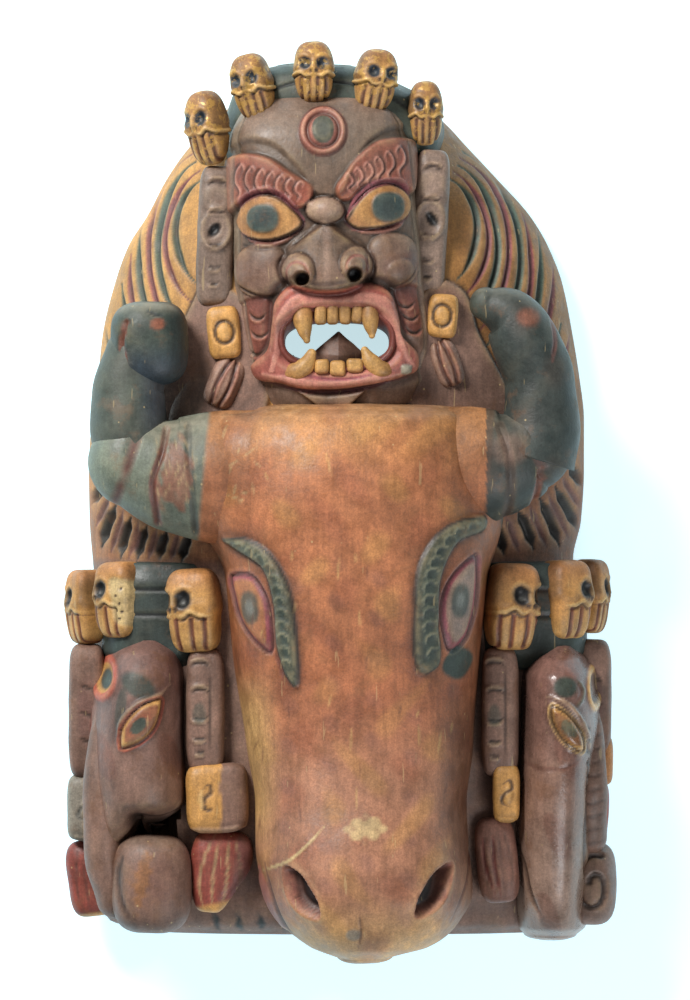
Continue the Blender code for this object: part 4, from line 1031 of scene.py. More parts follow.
def carve_bull():
    """The bull's head: long orange face, crescent brows of small scales, slanted eyes and muzzle."""
    points = arch_grid("bull_head", 250, 255, 8, 5.0)
    c = Carving(points, "orange")
    x, y = c.x, c.y
    side = np.abs(x - (10 + 0.02 * y)) / 95
    c.tint(soft(10, 52, y) * 0.45, "ochre")
    c.tint(soft(-120, -190, y) * 0.35, "brown_light")
    c.tint(soft(-255, -292, y) * 0.5, "ochre_light")
    mottle = np.sin(x / 9 + 1.3 * np.sin(y / 14)) * np.sin(y / 12 + 1.1 * np.sin(x / 17))
    c.tint(0.4 * soft(0.15, 0.95, mottle), "brick")
    c.tint(0.3 * soft(0.35, 0.95, np.sin(x / 6.1 + y / 9) * np.sin(y / 8.3 - x / 15)) * soft(-20, -60, y),
           "plum")
    c.tint(0.35 * soft(0.3, 0.95, -mottle), "ochre")
    c.tint(soft(-60, -130, y) * soft(-190, -130, y) * 0.3, "brick")
    # Painted shade: darker towards both sides of the head, where it turns away
    c.tint(soft(0.55, 0.95, side) * 0.4, "orange_dark")
    c.tint(soft(-36, -60, x) * soft(-105, -150, y) * soft(-245, -200, y) * 0.7, "ochre_light")
    # Painted shade down the right side of the muzzle
    c.tint(soft(60, 84, x) * soft(-110, -150, y) * 0.45, "umber")
    c.lift += tool_marks(x, y, 3.0, 13.0, 0.55)
    c.lift += 8.0 * soft(-50, -8, y) * soft(64, 52, y) * soft(0.72, 1.0, side)
    c.swell(8, 10, 70, 45, 2.0)
    c.swell(14, -150, 26, 90, 1.6)
    c.swell(-28, -255, 30, 42, 3.0)
    c.swell(66, -255, 28, 42, 3.0)
    for outline, way in ((LEFT_BULL_BROW, 1), (RIGHT_BULL_BROW, -1)):
        inside = c.inside(outline, 3.0)
        c.lift += 3.4 * inside
        c.tint(inside, "green")
        tip, upper, lower = outline[0], np.array(outline[1:6]), np.array(outline[6:])[::-1]
        spine_outer = curve_through(np.concatenate([[tip], upper]), 30)
        spine_inner = curve_through(np.concatenate([[tip], lower, [outline[5]]]), 30)
        for k in range(3, 27, 2):
            middle = 0.62 * spine_inner[k] + 0.38 * spine_outer[k]
            wide = np.linalg.norm(spine_outer[k] - spine_inner[k]) * 0.30
            angle = np.linspace(-0.5, 2.9, 7) if way > 0 else np.linspace(0.3, 3.7, 7)
            arc = np.c_[middle[0] + wide * np.cos(angle), middle[1] + wide * np.sin(angle)]
            c.ridge(arc, 0.95, 0.9, "green_light", 0.75)
        c.groove([*outline, outline[0]], 1.2, 1.2, "green_dark", 0.9, False, 0.7)
    lengthwise_eye(c, LEFT_BULL_EYE, (-58.5, -70.5), 6, "orange")
    lengthwise_eye(c, RIGHT_BULL_EYE, (78.5, -66), -6, "brown_light")
    c.tint(soft(1.1, 0.85, c.radius(78, -107, 9, 11, -30, 3)), "green")
    c.groove([(-44, -100), (-40, -108), (-38, -118)], 2.0, 1.0, "pink", 0.8, strength=0.5)
    for outline in (LEFT_NOSTRIL, RIGHT_NOSTRIL):
        hole, rim = c.inside(outline, 3.0), c.inside(outline, 9.0)
        c.lift += 2.6 * rim * (1 - hole) - 11.0 * hole
        c.tint(soft(0.12, 0.45, rim) * 0.8, "pink")
        c.tint(hole, "brow_dark")
        # Painted shade: a black core deep in each nostril
        c.tint(c.inside(shrunk(outline, 0.34, 0.2), 3.0) * 0.9, "black")
    c.ridge([(-53, -243), (-48, -262), (-41, -279), (-33, -293)], 3.6, 1.6, "pink", 0.9)
    c.groove([(-49, -240), (-43, -262), (-36, -280), (-28, -292)], 1.2, 1.6, "brow_dark", 0.9)
    c.groove([(87, -222), (83, -250), (72, -278)], 1.2, 1.0, "brow_dark", 0.9, strength=0.6)
    c.ridge([(-52, -246), (-43, -242), (-33, -238), (-22, -228), (-10, -214)], 1.0, 0.5, "putty", 0.85)
    blotch = c.radius(17, -216, 15, 9, 10) + 0.25 * np.sin(x / 2.1) * np.sin(y / 1.7)
    c.tint(soft(1.0, 0.6, blotch) * 0.7, "putty")
    c.tint(soft(1.0, 0.7, c.radius(9, -286, 6, 4.5)) * 0.7, "grey")
    c.groove([(12, -296), (14, -284), (13, -270)], 1.0, 0.9, "brow_dark", 0.9, strength=0.5)
    scratch_bull(c)
    seam = [(-40, -76, 100), (-36, -79, 103), (-13, -91, 100), (20, -94, 97), (47, -88, 90),
                    (62, -80, 84)]
    left, right = edges(seam, np.clip(y, -40, 62))
    upper = soft(-42, -34, y)
    c.tint(upper * soft(left + 1.0, left - 1.5, x) * 0.95, "green_light")
    c.tint(upper * soft(right - 1.0, right + 1.5, x) * 0.95, "green")
    c.dust = 0.25 * soft(30, 60, y) * soft(0.35, 0.9, normals(points)[..., 1])
    return finish_grid("bull_head", c, PAINTED)


def carve_elephant(side):
    """An elephant's head beside the muzzle: domed brow, slanting eye, a third eye and a full cheek."""
    left = side == "left"
    points = arch_grid(side + "_elephant", 154, 154, 8, 4.0)
    c = Carving(points, "brown")
    x, y = c.x, c.y
    c.tint(soft(-215, -110, y) * 0.5, "plum")
    c.tint(soft(-190, -250, y) * (0.3 if left else 0.9), "brown_light")
    c.lift += tool_marks(x, y, 4.0, 10.0, 0.4)
    c.tint(0.5 * soft(0.5, 0.68, np.sin(x / 7 + y / 23) * np.sin(y / 17 - 1)), "brow_dark")
    if left:
        eye = [(-145.5, -165), (-146, -154), (-139, -142), (-129, -134), (-119.5, -131.5), (-120, -141),
               (-124, -152), (-133, -161)]
        c.tint(soft(1.1, 0.7, c.radius(-134, -123, 14, 8.5, -30)) * 0.9, "green")
        c.tint(soft(1.1, 0.7, c.radius(-146, -138, 4, 16, -8)) * 0.7, "green")
        core, pupil, tilt = "brick", (-134, -149.5), -38
        c.ridge([(-148, -160), (-145, -146), (-135, -135), (-120, -128.5), (-113, -122)], 1.8, 2.0,
                "brown", 0.5)
        third = c.radius(-156.5, -118.5, 7.0, 13.0, -10)
        c.tint(soft(1.5, 1.1, c.radius(-170.5, -147, 3.0, 12)), "red_dark")
        c.lift -= 24 * soft(-200, -224, y) * soft(-154, -134, x)
        # Painted shade in the sunk gap above the trunk's curl
        c.tint(soft(-208, -217, y) * soft(-150, -140, x) * 0.9, "umber")
        c.swell(-124, -195, 28, 24, 3.5)
        c.groove([(-103, -200), (-110, -211), (-126, -214), (-142, -213)], 1.5, 1.0, "umber", 0.8,
                 strength=0.6)
    else:
        eye = [(141, -136), (149, -140), (157, -149), (161, -158), (160.5, -167), (151, -162), (144, -153),
               (140.5, -144)]
        c.tint(soft(1.1, 0.75, c.radius(150, -124, 8.5, 7.5)) * 0.95, "green")
        core, pupil, tilt = "orange_dark", (151.5, -151.5), 30
        c.ridge([(138, -130), (148, -133), (158, -143), (164, -155), (166, -170)], 1.9, 2.2,
                "brown_light", 0.5)
        c.ridge([(157, -118), (162, -126), (160, -134), (155, -138)], 1.3, 1.2, "green", 0.7)
        third = c.radius(169.5, -125, 4.5, 13.0, 2)
        for k in range(7):
            c.groove([(163 + 0.3 * k, -150 - 8 * k), (167, -153 - 8 * k)], 1.3, 1.1, "umber", 0.9)
        c.groove([(166, -165), (165, -190), (164, -215), (163.5, -240), (166, -262), (170, -276)], 1.7,
                 2.4, "umber", 0.9, strength=0.7)
        c.swell(140, -200, 30, 46, 3.0)
        c.groove([(121, -173), (134, -178), (150, -177), (160, -171)], 2.2, 0.7, "brow_dark", 0.8,
                 strength=0.35)
        c.groove([(136, -279), (128, -264), (124, -246), (121, -230)], 1.6, 1.6, "umber", 0.9, strength=0.6)
    c.lift += 2.0 * bell(third, 1.0, 0.25) - 0.8 * soft(0.8, 0.5, third)
    c.tint(soft(1.3, 1.1, third), "red" if left else "ochre")
    c.tint(soft(0.85, 0.7, third), "ochre" if left else "brown")
    if left:
        c.tint(soft(0.62, 0.45, third), "green")
    inside, rim = c.inside(eye, 1.6), c.inside(eye, 6.0)
    c.lift += 3.2 * rim - 2.2 * inside + 2.4 * c.inside(eye, 9.0) ** 2
    c.tint(soft(0.03, 0.3, rim), "red" if left else "ochre_light")
    c.tint(inside, "ochre")
    c.tint(c.inside(shrunk(eye, 0.28, 0.28), 1.4), core)
    c.tint(c.inside([*eye[:1], *eye[-3:], eye[0]], 2.0) * 0.5, "umber")
    spot = c.radius(*pupil, 3.6, 6.2, tilt)
    c.tint(soft(1.15, 0.95, spot), "green")
    c.groove([*eye, eye[0]], 1.2, 1.4, "red_dark" if left else "umber", 0.9, False, 0.8)
    return finish_grid(side + "_elephant", c, GLOSSY if not left else PAINTED)


def outward(points):
    """The same wrapped grid with its rings turned round if they would look inwards."""
    middle = points.mean(axis=(0, 1))
    facing = np.einsum("ijk,ijk->", normals(points, True), points - middle)
    return points if facing > 0 else points[:, ::-1]


def tube_grid(path, around, along, nose=10, flat=1.0):
    """Rings of the path's radius square to the path, closed by a half-round nose at its far end."""
    table = np.array([(k, *row) for k, row in enumerate(path)], float)
    curve = through(table, np.linspace(0, len(path) - 1, along))
    middle, radius = curve[:, :3], curve[:, 3]
    way = np.gradient(middle, axis=0)
    way /= np.linalg.norm(way, axis=1, keepdims=True)
    across = np.cross(way, (0.0, 0.0, 1.0))
    across /= np.linalg.norm(across, axis=1, keepdims=True)
    up = np.cross(across, way)
    angle = np.linspace(0, 2 * math.pi, around, endpoint=False) - math.pi / 2
    ring = np.cos(angle)[:, None] * across[:, None, :] + flat * np.sin(angle)[:, None] * up[:, None, :]
    rows = middle[:, None, :] + radius[:, None, None] * ring
    share = np.linspace(0, math.pi / 2 * 0.96, nose + 1)[1:]
    tip = middle[-1] + way[-1] * radius[-1] * np.sin(share)[:, None]
    caps = tip[:, None, :] + (radius[-1] * np.cos(share))[:, None, None] * ring[-1][None]
    return outward(np.concatenate([rows, caps]))


# Each horn and trunk part: its path, its counts round and along, and its paint
TUBES = {
    "left_horn_root": (LEFT_HORN_ROOT, 90, 70, "green_light"),
    "left_horn": (LEFT_HORN, 72, 60, "green"),
    "right_horn_root": (RIGHT_HORN_ROOT, 90, 66, "green"),
    "right_horn": (RIGHT_HORN, 72, 84, "green"),
    "left_trunk": (LEFT_TRUNK, 40, 84, "brown"),
    "right_trunk": (RIGHT_TRUNK, 40, 80, "brown"),
}


def carve_tube(name):
    """A horn or trunk: green paint over old red, ring grooves, worn patches, dust on top, and painted shade
    on the left horn's inner side and over the right horn.
    """
    path, around, along, paint = TUBES[name]
    points = tube_grid(path, around, along, flat=0.88 if "root" in name else 1.0)
    c = Carving(points, paint)
    up = normals(points, True)
    x, y = c.x, c.y
    c.lift += tool_marks(x, y, 5.0, 8.0, 0.4)
    if "horn" in name:
        c.tint(0.35 * soft(0.3, 0.8, np.sin(x / 9 + 2) * np.sin(y / 8)), "green_dark")
        c.dust = 0.65 * soft(0.3, 1.0, up[..., 1]) * soft(0.0, 0.5, up[..., 2]) + 0.1
    if "root" in name:
        skin = soft(*((-92, -88) if "left" in name else (101, 97)), x - 0.09 * (y - 20))
        c.tint(skin, "orange")
        c.tint(skin * soft(10, 52, y) * 0.45, "ochre")
        c.tint(skin * 0.35, "orange_dark")
        c.dust *= 1 - 0.7 * skin
    if name == "left_horn_root":
        c.groove([(-134, 46), (-139, 30), (-146, 14), (-150, -8)], 2.4, 2.4, "red_dark", 0.8, False)
        c.groove([(-115, 48), (-118, 32), (-124, 14), (-121, -14)], 2.8, 2.8, "red_dark", 0.9, False)
        c.groove([(-101, 50), (-100, 30), (-98, 5), (-96, -20)], 3.2, 1.2, "green_dark", 0.9, False, 0.6)
        worn = c.radius(-109, 18, 11, 24, 0, 3) + 0.3 * np.sin(x / 2.2 + y / 5) * np.sin(y / 3.1)
        c.tint(soft(1.05, 0.75, worn) * 0.7, "brick")
        c.tint(soft(0.9, 0.6, c.radius(-122, 5, 5, 14)) * 0.7, "red_dark")
        picks = np.random.default_rng(8)
        for _ in range(26):
            start = np.array((-108, 18)) + picks.normal(0, 1, 2) * (7, 12)
            end = start + (picks.normal(0, 1.5), picks.uniform(3, 9))
            c.groove([start, end], 0.7, 0.3, "putty", 0.8, strength=0.45)
    if name == "left_horn":
        # Painted shade on the horn's inner side, in the pocket beside the face
        c.tint(soft(-140, -122, x) * soft(28, 60, y) * 0.85, "blue_black")
    if name.startswith("right_horn"):
        # Painted shade: the right horn is painted darker, with umber mottling
        c.tint(np.where(x > 97, 0.8, 0.0), "green_dark")
        c.tint(np.where(x > 97, 0.25, 0.0) * soft(0.1, 0.9, np.sin(x / 7) * np.sin(y / 11)), "umber")
        c.dust *= 0.5
    if name == "right_horn_root":
        c.groove([(131, 52), (132, 34), (133, 14), (128, -6)], 2.8, 2.6, "brick", 0.8, False)
        c.groove([(106, 50), (112, 30), (113, 5), (110, -14)], 4.0, 1.2, "umber", 0.9, False, 0.6)
        c.tint(soft(1.0, 0.5, c.radius(112, 34, 16, 14)) * 0.5, "brown")
    if name == "right_horn":
        c.tint(soft(1.0, 0.5, c.radius(125, 122, 10, 8)) * 0.6, "brick")
        c.groove([(139, 124), (143, 110), (141, 92)], 1.8, 1.4, "pink", 0.8, strength=0.5)
    if "trunk" in name:
        c.tint(soft(-130, -112, y) * 0.6, "green")
    if name == "right_trunk":
        for k in range(16):
            place = -128 - 9.0 * k
            c.groove([(x.min() + 1, place), (x.mean(), place - 2.5), (x.max() - 1, place)], 1.5, 0.8,
                     "umber", 0.8, strength=0.35)
    return finish_grid(name, c, PAINTED, wrapped=True)


def turned(points, turn, tilt):
    """Points turned about +Y by turn, then in the plan by tilt, both in degrees."""
    a, b = math.radians(turn), math.radians(tilt)
    about_y = np.array([[math.cos(a), 0, math.sin(a)], [0, 1, 0], [-math.sin(a), 0, math.cos(a)]])
    about_z = np.array([[math.cos(b), -math.sin(b), 0], [math.sin(b), math.cos(b), 0], [0, 0, 1]])
    return points @ (about_z @ about_y).T


def pod_grid(half, around, along, end=3.4, section=2.6):
    """A rounded block: a superellipse along y times a superellipse section, both in even steps."""
    turn = np.linspace(0.003, math.pi - 0.003, 900)
    width, place = np.sin(turn) ** (2 / end), -np.sign(np.cos(turn)) * np.abs(np.cos(turn)) ** (2 / end)
    length = run(half[0] * width, half[1] * place)
    at = np.linspace(0, length[-1], along)
    width, place = np.interp(at, length, width), np.interp(at, length, place)
    turn = np.linspace(0, 2 * math.pi, 1601) - math.pi / 2
    c, s = -np.cos(turn), np.sin(turn)
    x = half[0] * np.sign(c) * np.abs(c) ** (2 / section)
    z = half[2] * np.sign(s) * np.abs(s) ** (2 / section)
    length = run(x, z)
    at = np.linspace(0, length[-1], around, endpoint=False)
    x, z = np.interp(at, length, x), np.interp(at, length, z)
    return np.stack([width[:, None] * x, np.broadcast_to(half[1] * place[:, None], (along, around)),
                     width[:, None] * z], axis=-1)


def side_of(name):
    """-1 for what stands on the left and 1 for what stands on the right."""
    return -1 if "left" in name else 1


def carve_ear(c, name, wide, long):
    """A long ear of stacked curls: the upper ones pierced, the near ones shifted to their visible side."""
    side = side_of(name)
    if "far" in name:
        c.cover("brown")
        c.tint(soft(0.9, 0.5, c.radius(0, 0, wide * 0.7, long * 0.7)) * 0.5, "plum")
        for k in (-1, 0, 1):
            c.groove([(-0.4 * wide, k * 0.4 * long), (0.5 * wide, (k * 0.4 - 0.1) * long)], 1.4, 1.0,
                     "umber", 0.9)
        return
    front = c.points[..., 2] > 0
    upper = "upper" in name
    c.cover("taupe" if upper else "brown")
    shift = 0.0 if upper else side * -0.32 * wide if "right" in name else -0.3 * wide
    for k, (place, size) in enumerate(((0.72, 7.4), (0.30, 6.6), (-0.10, 6.2), (-0.44, 4.6), (-0.68, 3.4))):
        way = 1 if k < 2 else -1
        angle = np.linspace(0.25, math.pi - 0.25, 9) * way
        arc = np.c_[shift + size * np.cos(angle), place * long + size * 0.62 * np.sin(angle)]
        c.ridge(arc, 1.5, 1.5, "brown_light", 0.5)
        c.groove(arc * (0.86, 1) - (0, 1.7 * way), 1.4, 1.5, "umber", 0.9)
    if upper:
        c.lift += 1.2 * c.inside([(a * 7.5, b * long) for a,
                                  b in ((-1, 0.40), (1, 0.40), (1, 0.66), (-1, 0.66))], 4)
        hole = c.radius(side * 1.0, 0.08 * long, 3.6, 6.2, side * 38)
        c.lift -= 3.4 * soft(1.1, 0.4, hole) * front
        # Painted shade: the pierced hole is painted black
        c.tint(soft(1.1, 0.6, hole) * front, "black")
        lobe = c.radius(0, 0.08 * long, 9, 12)
        c.lift += 1.6 * bell(lobe, 1, 0.14) * front
    else:
        c.tint(soft(1.1, 0.8, c.radius(shift, -0.05 * long, 4.5, 8)) * 0.6, "green")
        edge = [(shift + 8, long * 0.9), (shift + 7, 0), (shift + 8, -long * 0.9)]
        c.groove(edge, 1.2, 1.0, "umber", 0.8, strength=0.5)
    c.tint(0.5 * soft(0.82, 0.98, np.abs(c.x / wide)), "taupe_dark")


def carve_stud(c, name, wide, long):
    """A round ear stud: a sunk ring on the upper ones, a curl and a rim below on the others."""
    side, front, u = side_of(name), c.points[..., 2] > 0, c.x / wide
    c.cover("ochre")
    if "upper" in name:
        ring = c.radius(side * -0.5, 0.0, 6.4, 7.4)
        c.lift -= 1.9 * bell(ring, 1, 0.17) * front
        c.tint(soft(0.24, 0.08, np.abs(ring - 1)) * front * 0.7, "umber")
        c.lift += 1.1 * soft(0.85, 0.3, ring) * front
    elif name == "left_near_stud":
        c.tint(soft(0.10, 0.16, u + 0.05 * np.sin(c.y / 4)), "brown")
        curl = [(-9, 6), (-5.5, 9), (-3.5, 4), (-7.5, 0.5), (-9.5, -5), (-5, -8.5), (-3, -4.5)]
        c.groove(curl, 1.5, 1.7, "umber", 0.9, strength=0.7)
        c.ridge([(-10.5, 5), (-11, -2), (-9, -9)], 1.6, 1.2, "ochre_light", 0.6)
        c.ridge([(-20, -0.86 * long), (0, -0.94 * long), (20, -0.84 * long)], 2.0, 1.4, "brown_light", 0.6)
    else:
        curl = ((-0.3, 6), (0.25, 8.5), (0.4, 3), (-0.1, 0), (-0.35, -6), (0.2, -9))
        c.groove([(a * wide, b) for a, b in curl], 1.4, 1.6, "umber", 0.9, strength=0.75)
        c.boss(0.1 * wide, -0.05 * long, 3.4, 6.0, 1.4)
        if name == "left_far_stud":
            c.tint(soft(0.2, -0.1, u) * 0.9, "grey")
        if name == "right_far_stud":
            c.cover("orange", 0.6)
        c.ridge([(-0.8 * wide, -0.86 * long), (0, -0.93 * long), (0.8 * wide, -0.86 * long)], 1.8, 1.2)


def carve_tassel(c, name, wide, long):
    """A hanging tassel: lengthwise grooves that spread in its middle and close at its ends."""
    u, v, upper = c.x / wide, c.y / long, "upper" in name
    c.cover("brown_light" if upper else "red_dark")
    c.cover("brow_red" if upper else "red", 0.2 if upper else 0.35)
    for place in (-0.36, 0.34) if upper else (-0.55, -0.18, 0.2, 0.58):
        path = [(place * wide * 0.5, 0.95 * long), (place * wide, 0.3 * long),
                (place * wide * 1.15, -0.3 * long), (place * wide * 0.75, -0.92 * long)]
        if upper:
            c.groove(path, 1.7, 2.4, "brow_dark", 0.9, False)
            c.ridge([(a + 2.1, b) for a, b in path], 1.3, 0.9, "pink", 0.5)
        else:
            c.groove(path, 0.9, 0.7, "putty" if name == "left_near_tassel" else "brow_dark", 1.0,
                     strength=0.55)
    if name == "left_near_tassel":
        c.tint(soft(-0.66, -0.82, v - 0.25 * u), "ochre")
        c.tint(soft(0.3, 0.55, u) * soft(-0.7, -0.4, v) * 0.7, "plum")
    if name == "right_near_tassel":
        c.cover("brown", 0.75)
        c.groove([(-8, 16), (-8.5, 0), (-4, -22)], 1.4, 1.3, "red_dark", 0.9)
        c.groove([(-1, 17), (-2, 0), (0, -24)], 1.4, 1.3, "red_dark", 0.9)
    if name == "left_far_tassel":
        c.tint(soft(-0.84, -0.93, v), "ochre")


def carve_curl(c, name):
    """The curled end of a trunk: worn and flecked on the left, cut as a spiral on the right."""
    c.cover("brown")
    if side_of(name) < 0:
        c.cover("umber", 0.3)
        c.tint(soft(0.9, 0.3, c.radius(2, 2, 24, 28)) * 0.45, "brow_dark")
        fleck = 0.5 * np.sin(c.x / 1.9 + c.y / 3.3) * np.sin(c.y / 2.6)
        c.tint(soft(1.0, 0.5, c.radius(-6, 4, 8, 20, -12) + fleck) * 0.55, "ochre_dark")
        c.groove([(-17, 24), (-22, 8), (-20, -10), (-12, -26)], 2.2, 1.6, "umber", 0.9, strength=0.5)
        return
    angle = np.linspace(0.4, 4.2 * math.pi / 1.6, 20)
    reach = 3.0 + 1.35 * angle
    c.groove(np.c_[2 - reach * np.cos(angle), -1 + 1.55 * reach * np.sin(angle)], 2.2, 3.2, "umber", 0.9,
             False)
    for k in range(5):
        c.groove([(-15, 12 - 8 * k), (-9, 8 - 8 * k)], 1.3, 1.0, "umber", 0.9)


def carve_tip(c):
    """The round tip of the left horn, green with a red crack, painted dark below and on its right as painted
    shade.
    """
    c.cover("green")
    # Painted shade below the tip and on its right side
    c.tint(soft(4, -18, c.y) * 0.8, "blue_black")
    c.tint(soft(6, 20, c.x) * 0.7, "green_dark")
    c.tint(soft(1.0, 0.6, c.radius(6, 12.5, 6, 5)) * 0.8, "brick")
    c.groove([(-15, 14), (-18, 2), (-16, -16)], 2.2, 2.6, "brick", 0.8, False)
    c.groove([(-2, 22), (6, 18), (10, 19)], 1.3, 1.0, "green_dark", 0.9)


def carve_pod(name):
    """An ear, a stud, a tassel, a trunk's curl or a horn's tip, carved in its own upright frame."""
    x, y, z, wide, long, deep, tilt = PODS[name]
    kind = name.split("_")[-1]
    big = kind in ("curl", "tip")
    square = 2.4 if big else 3.0 if kind == "tassel" else 4.2
    local = pod_grid((wide, long, deep), 72 if big else 60, 72 if big else 66, square + 0.8, square)
    if name == "left_near_tassel":
        narrow = soft(0.4, -1.0, local[..., 1] / long)
        local[..., 0] = local[..., 0] * (1 - 0.45 * narrow) - 5.0 * narrow
    c = Carving(local, "taupe")
    c.lift += tool_marks(c.x, c.y, 6.0, 5.0, 0.22)
    if kind == "tip":
        carve_tip(c)
    elif kind == "curl":
        carve_curl(c, name)
    else:
        {"ear": carve_ear, "stud": carve_stud, "tassel": carve_tassel}[kind](c, name, wide, long)
    settle(c, local, (x, y, z), 0, tilt)
    if big:
        up = normals(c.points, True)
        c.dust = (0.6 if kind == "tip" else 0.25) * soft(0.3, 1.0, up[..., 1]) * soft(0.0, 0.4, up[..., 2])
    return finish_grid(name, c, PAINTED, wrapped=True, lifted=True)


# Each side skull looks outwards: its nose stands this share of its half width off its middle
SKULL_LOOK = {"crown_1": -0.18, "crown_2": -0.12, "crown_4": 0.12, "left_near": -0.66, "left_mid": -0.85,
              "left_far": -0.55, "right_near": 0.55, "right_mid": 0.88, "right_far": 0.5}


def carve_skull(name):
    """A small skull: domed brow, deep sockets, nose ridge, a cheek ledge and long teeth to the jaw."""
    x, y, z, wide, long, turn, tilt = SKULLS[name]
    crown = name.startswith("crown")
    local = pod_grid((wide, long, wide), 78, 76, 2.8 if crown else 4.2, 2.7 if crown else 4.4)
    v = local[..., 1] / long
    profile = through([(-1.0, 0.92, 0.80), (-0.55, 0.94, 0.88), (-0.12, 0.97, 0.98), (0.1, 1.04, 1.05),
                       (0.35, 1.0, 1.0), (1.0, 0.98, 0.98)], v.ravel())
    local[..., 0] *= profile[:, 0].reshape(v.shape)
    local[..., 2] *= profile[:, 1].reshape(v.shape)
    c = Carving(local, "ochre")
    front = soft(0.1, 0.4, local[..., 2] / wide)
    u = local[..., 0] / wide
    c.lift += tool_marks(local[..., 0], local[..., 1], turn + 3.0, 4.0, 0.25)
    c.cover("umber", 0.3 if crown else 0.0)
    c.tint(soft(0.3, 0.9, v) * 0.5, "orange_dark" if crown else "orange")
    # Painted shade: the side skulls on the right are painted darker
    c.cover("orange_dark", 0.3 if x > 30 and not crown else 0.0)
    c.tint(soft(-0.1, 0.1, v) * soft(0.55, 0.95, np.abs(u)) * 0.5, "umber")
    c.tint(soft(-0.2, -0.9, v) * 0.4, "ochre_light")
    shift = SKULL_LOOK.get(name, 0.0) * wide
    socket_x = (0.44 if crown else 0.40) * wide
    for k in (-1, 1):
        size = (0.31 * wide, 0.20 * long) if crown else (0.34 * wide, 0.24 * long)
        socket = c.radius(shift + k * socket_x, 0.27 * long, *size, k * -12)
        c.lift -= 0.24 * wide * soft(1.15, 0.3, socket) * front
        c.tint(soft(1.35, 1.1, socket) * front * 0.7, "umber")
        c.tint(soft(1.1, 0.85, socket) * front, "blue_black" if crown else "black")
        # Painted highlight: a grey patch low in each socket where light would fall
        socket_highlight = c.radius(shift + k * socket_x, 0.20 * long, 0.2 * wide, 0.1 * long)
        c.tint(soft(0.9, 0.5, socket_highlight) * front * 0.5, "grey")
        steps = ((0.12, 0.42), (0.45, 0.56), (0.84, 0.44))
        brow = [(shift + k * place * wide, height * long) for place, height in steps]
        c.ridge(brow, 0.11 * wide, 0.04 * wide, "ochre", 0.4)
        steps = ((0.06, -0.06), (0.36, -0.14), (0.66, -0.02), (1.0, -0.12), (1.5, -0.14))
        ledge = [(shift + k * place * wide, height * long) for place, height in steps]
        c.ridge(ledge, 0.10 * wide, (0.11 if crown else 0.06) * wide, "ochre_light", 0.6)
        c.groove([(a, b - 0.09 * long) for a, b in ledge], 0.08 * wide, 0.09 * wide, "umber", 0.9,
                 strength=0.6)
    nose = [(shift, 0.40 * long), (shift, 0.12 * long), (shift, -0.08 * long)]
    c.ridge(nose, 0.15 * wide, (0.13 if crown else 0.03) * wide, "ochre", 0.3)
    for k in (-1, 1):
        cut = [(shift + k * 0.10 * wide, 0.10 * long), (shift + k * 0.15 * wide, -0.04 * long)]
        c.groove(cut, 0.09 * wide, 0.12 * wide, "umber", 0.9)
    inner = 1 if shift < 0 else -1
    gaps = (-0.62, -0.22, 0.2, 0.62) if crown else [shift / wide + inner * step for step in (-0.3, 0.12,
                                                                                             0.70, 1.2)]
    for place in gaps:
        top = -0.22 * long
        path = [(place * wide, top), (place * wide * 1.02, -0.55 * long),
                (place * wide * 0.9, -0.92 * long)]
        c.groove(path, 0.10 * wide, 0.13 * wide, "red_dark" if not crown else "brow_dark", 0.95, False,
                 0.85)
    if name == "left_mid":
        corners = ((0.1, 0.55), (1, 0.5), (1, -0.7), (0.35, -0.6), (0.25, 0.0))
        chipped = c.inside([(a * wide, b * long) for a, b in corners], 3.0)
        c.lift -= 0.8 * chipped
        c.tint(chipped * 0.9, "putty")
        for px, py in ((0.5, 0.1), (0.62, -0.12), (0.42, -0.3), (0.7, 0.3), (0.55, -0.5), (0.72, -0.32)):
            hole = c.radius(px * wide, py * long, 0.9, 1.0)
            c.lift -= 1.2 * soft(1.2, 0.4, hole)
            c.tint(soft(1.3, 0.7, hole), "umber")
    settle(c, local, (x, y, z), turn, tilt)
    return finish_grid("skull_" + name, c, GILT if crown else PAINTED, wrapped=True, lifted=True)


def carve_band(name):
    """A neck slope behind an ear, the crown's band, or a green band behind the side skulls."""
    across, along = (110, 60) if name == "crown_band" else (50, 50)
    points = arch_grid(name, across, along, 5, 2.0)
    paint = "green" if ("green" in name or "crown" in name) else "brown"
    c = Carving(points, paint)
    c.lift += tool_marks(c.x, c.y, 7.0, 9.0, 0.4)
    if "green" in name:
        c.cover("green_dark", 0.5)
        for place in (-59, -76):
            c.groove([(c.x.min() + 6, place), (c.x.max() - 6, place - 1)], 1.5, 2.0, "black", 0.9, False,
                     0.7)
    elif name == "crown_band":
        c.tint(0.4 * soft(0.2, 0.8, np.sin(c.x / 6) * np.sin(c.y / 9)), "green_light")
        c.groove([(-72, 243), (-62, 262), (-40, 276), (-5, 280), (28, 272), (52, 256), (60, 240)], 1.4,
                 1.4, "black", 0.9, False, 0.6)
    else:
        c.cover("taupe", 0.35)
        c.tint(soft(90, 50, c.y) * 0.35, "taupe")
        c.dust = 0.15 * soft(0.2, 0.8, normals(points)[..., 1])
    return finish_grid(name, c, PAINTED)


def finish_loop(name, rings, paint, material):
    """A closed band of rings that wraps both ways, such as the lining of the mouth hole."""
    rows, around = rings.shape[:2]
    number = np.arange(rows * around).reshape(rows, around)
    right, up = np.roll(number, -1, axis=1), np.roll(number, -1, axis=0)
    corner = np.roll(right, -1, axis=0)
    quads = np.stack([number, right, corner, up], axis=-1).reshape(-1, 4)
    count = rows * around
    colour = np.broadcast_to(PAINT[paint], (count, 3))
    zero = np.zeros(count)
    # The whole band carries an even grime and painted shade of 0.3
    return make_piece(name, rings.reshape(-1, 3), [quads], colour, zero + 0.3, zero, zero, material)


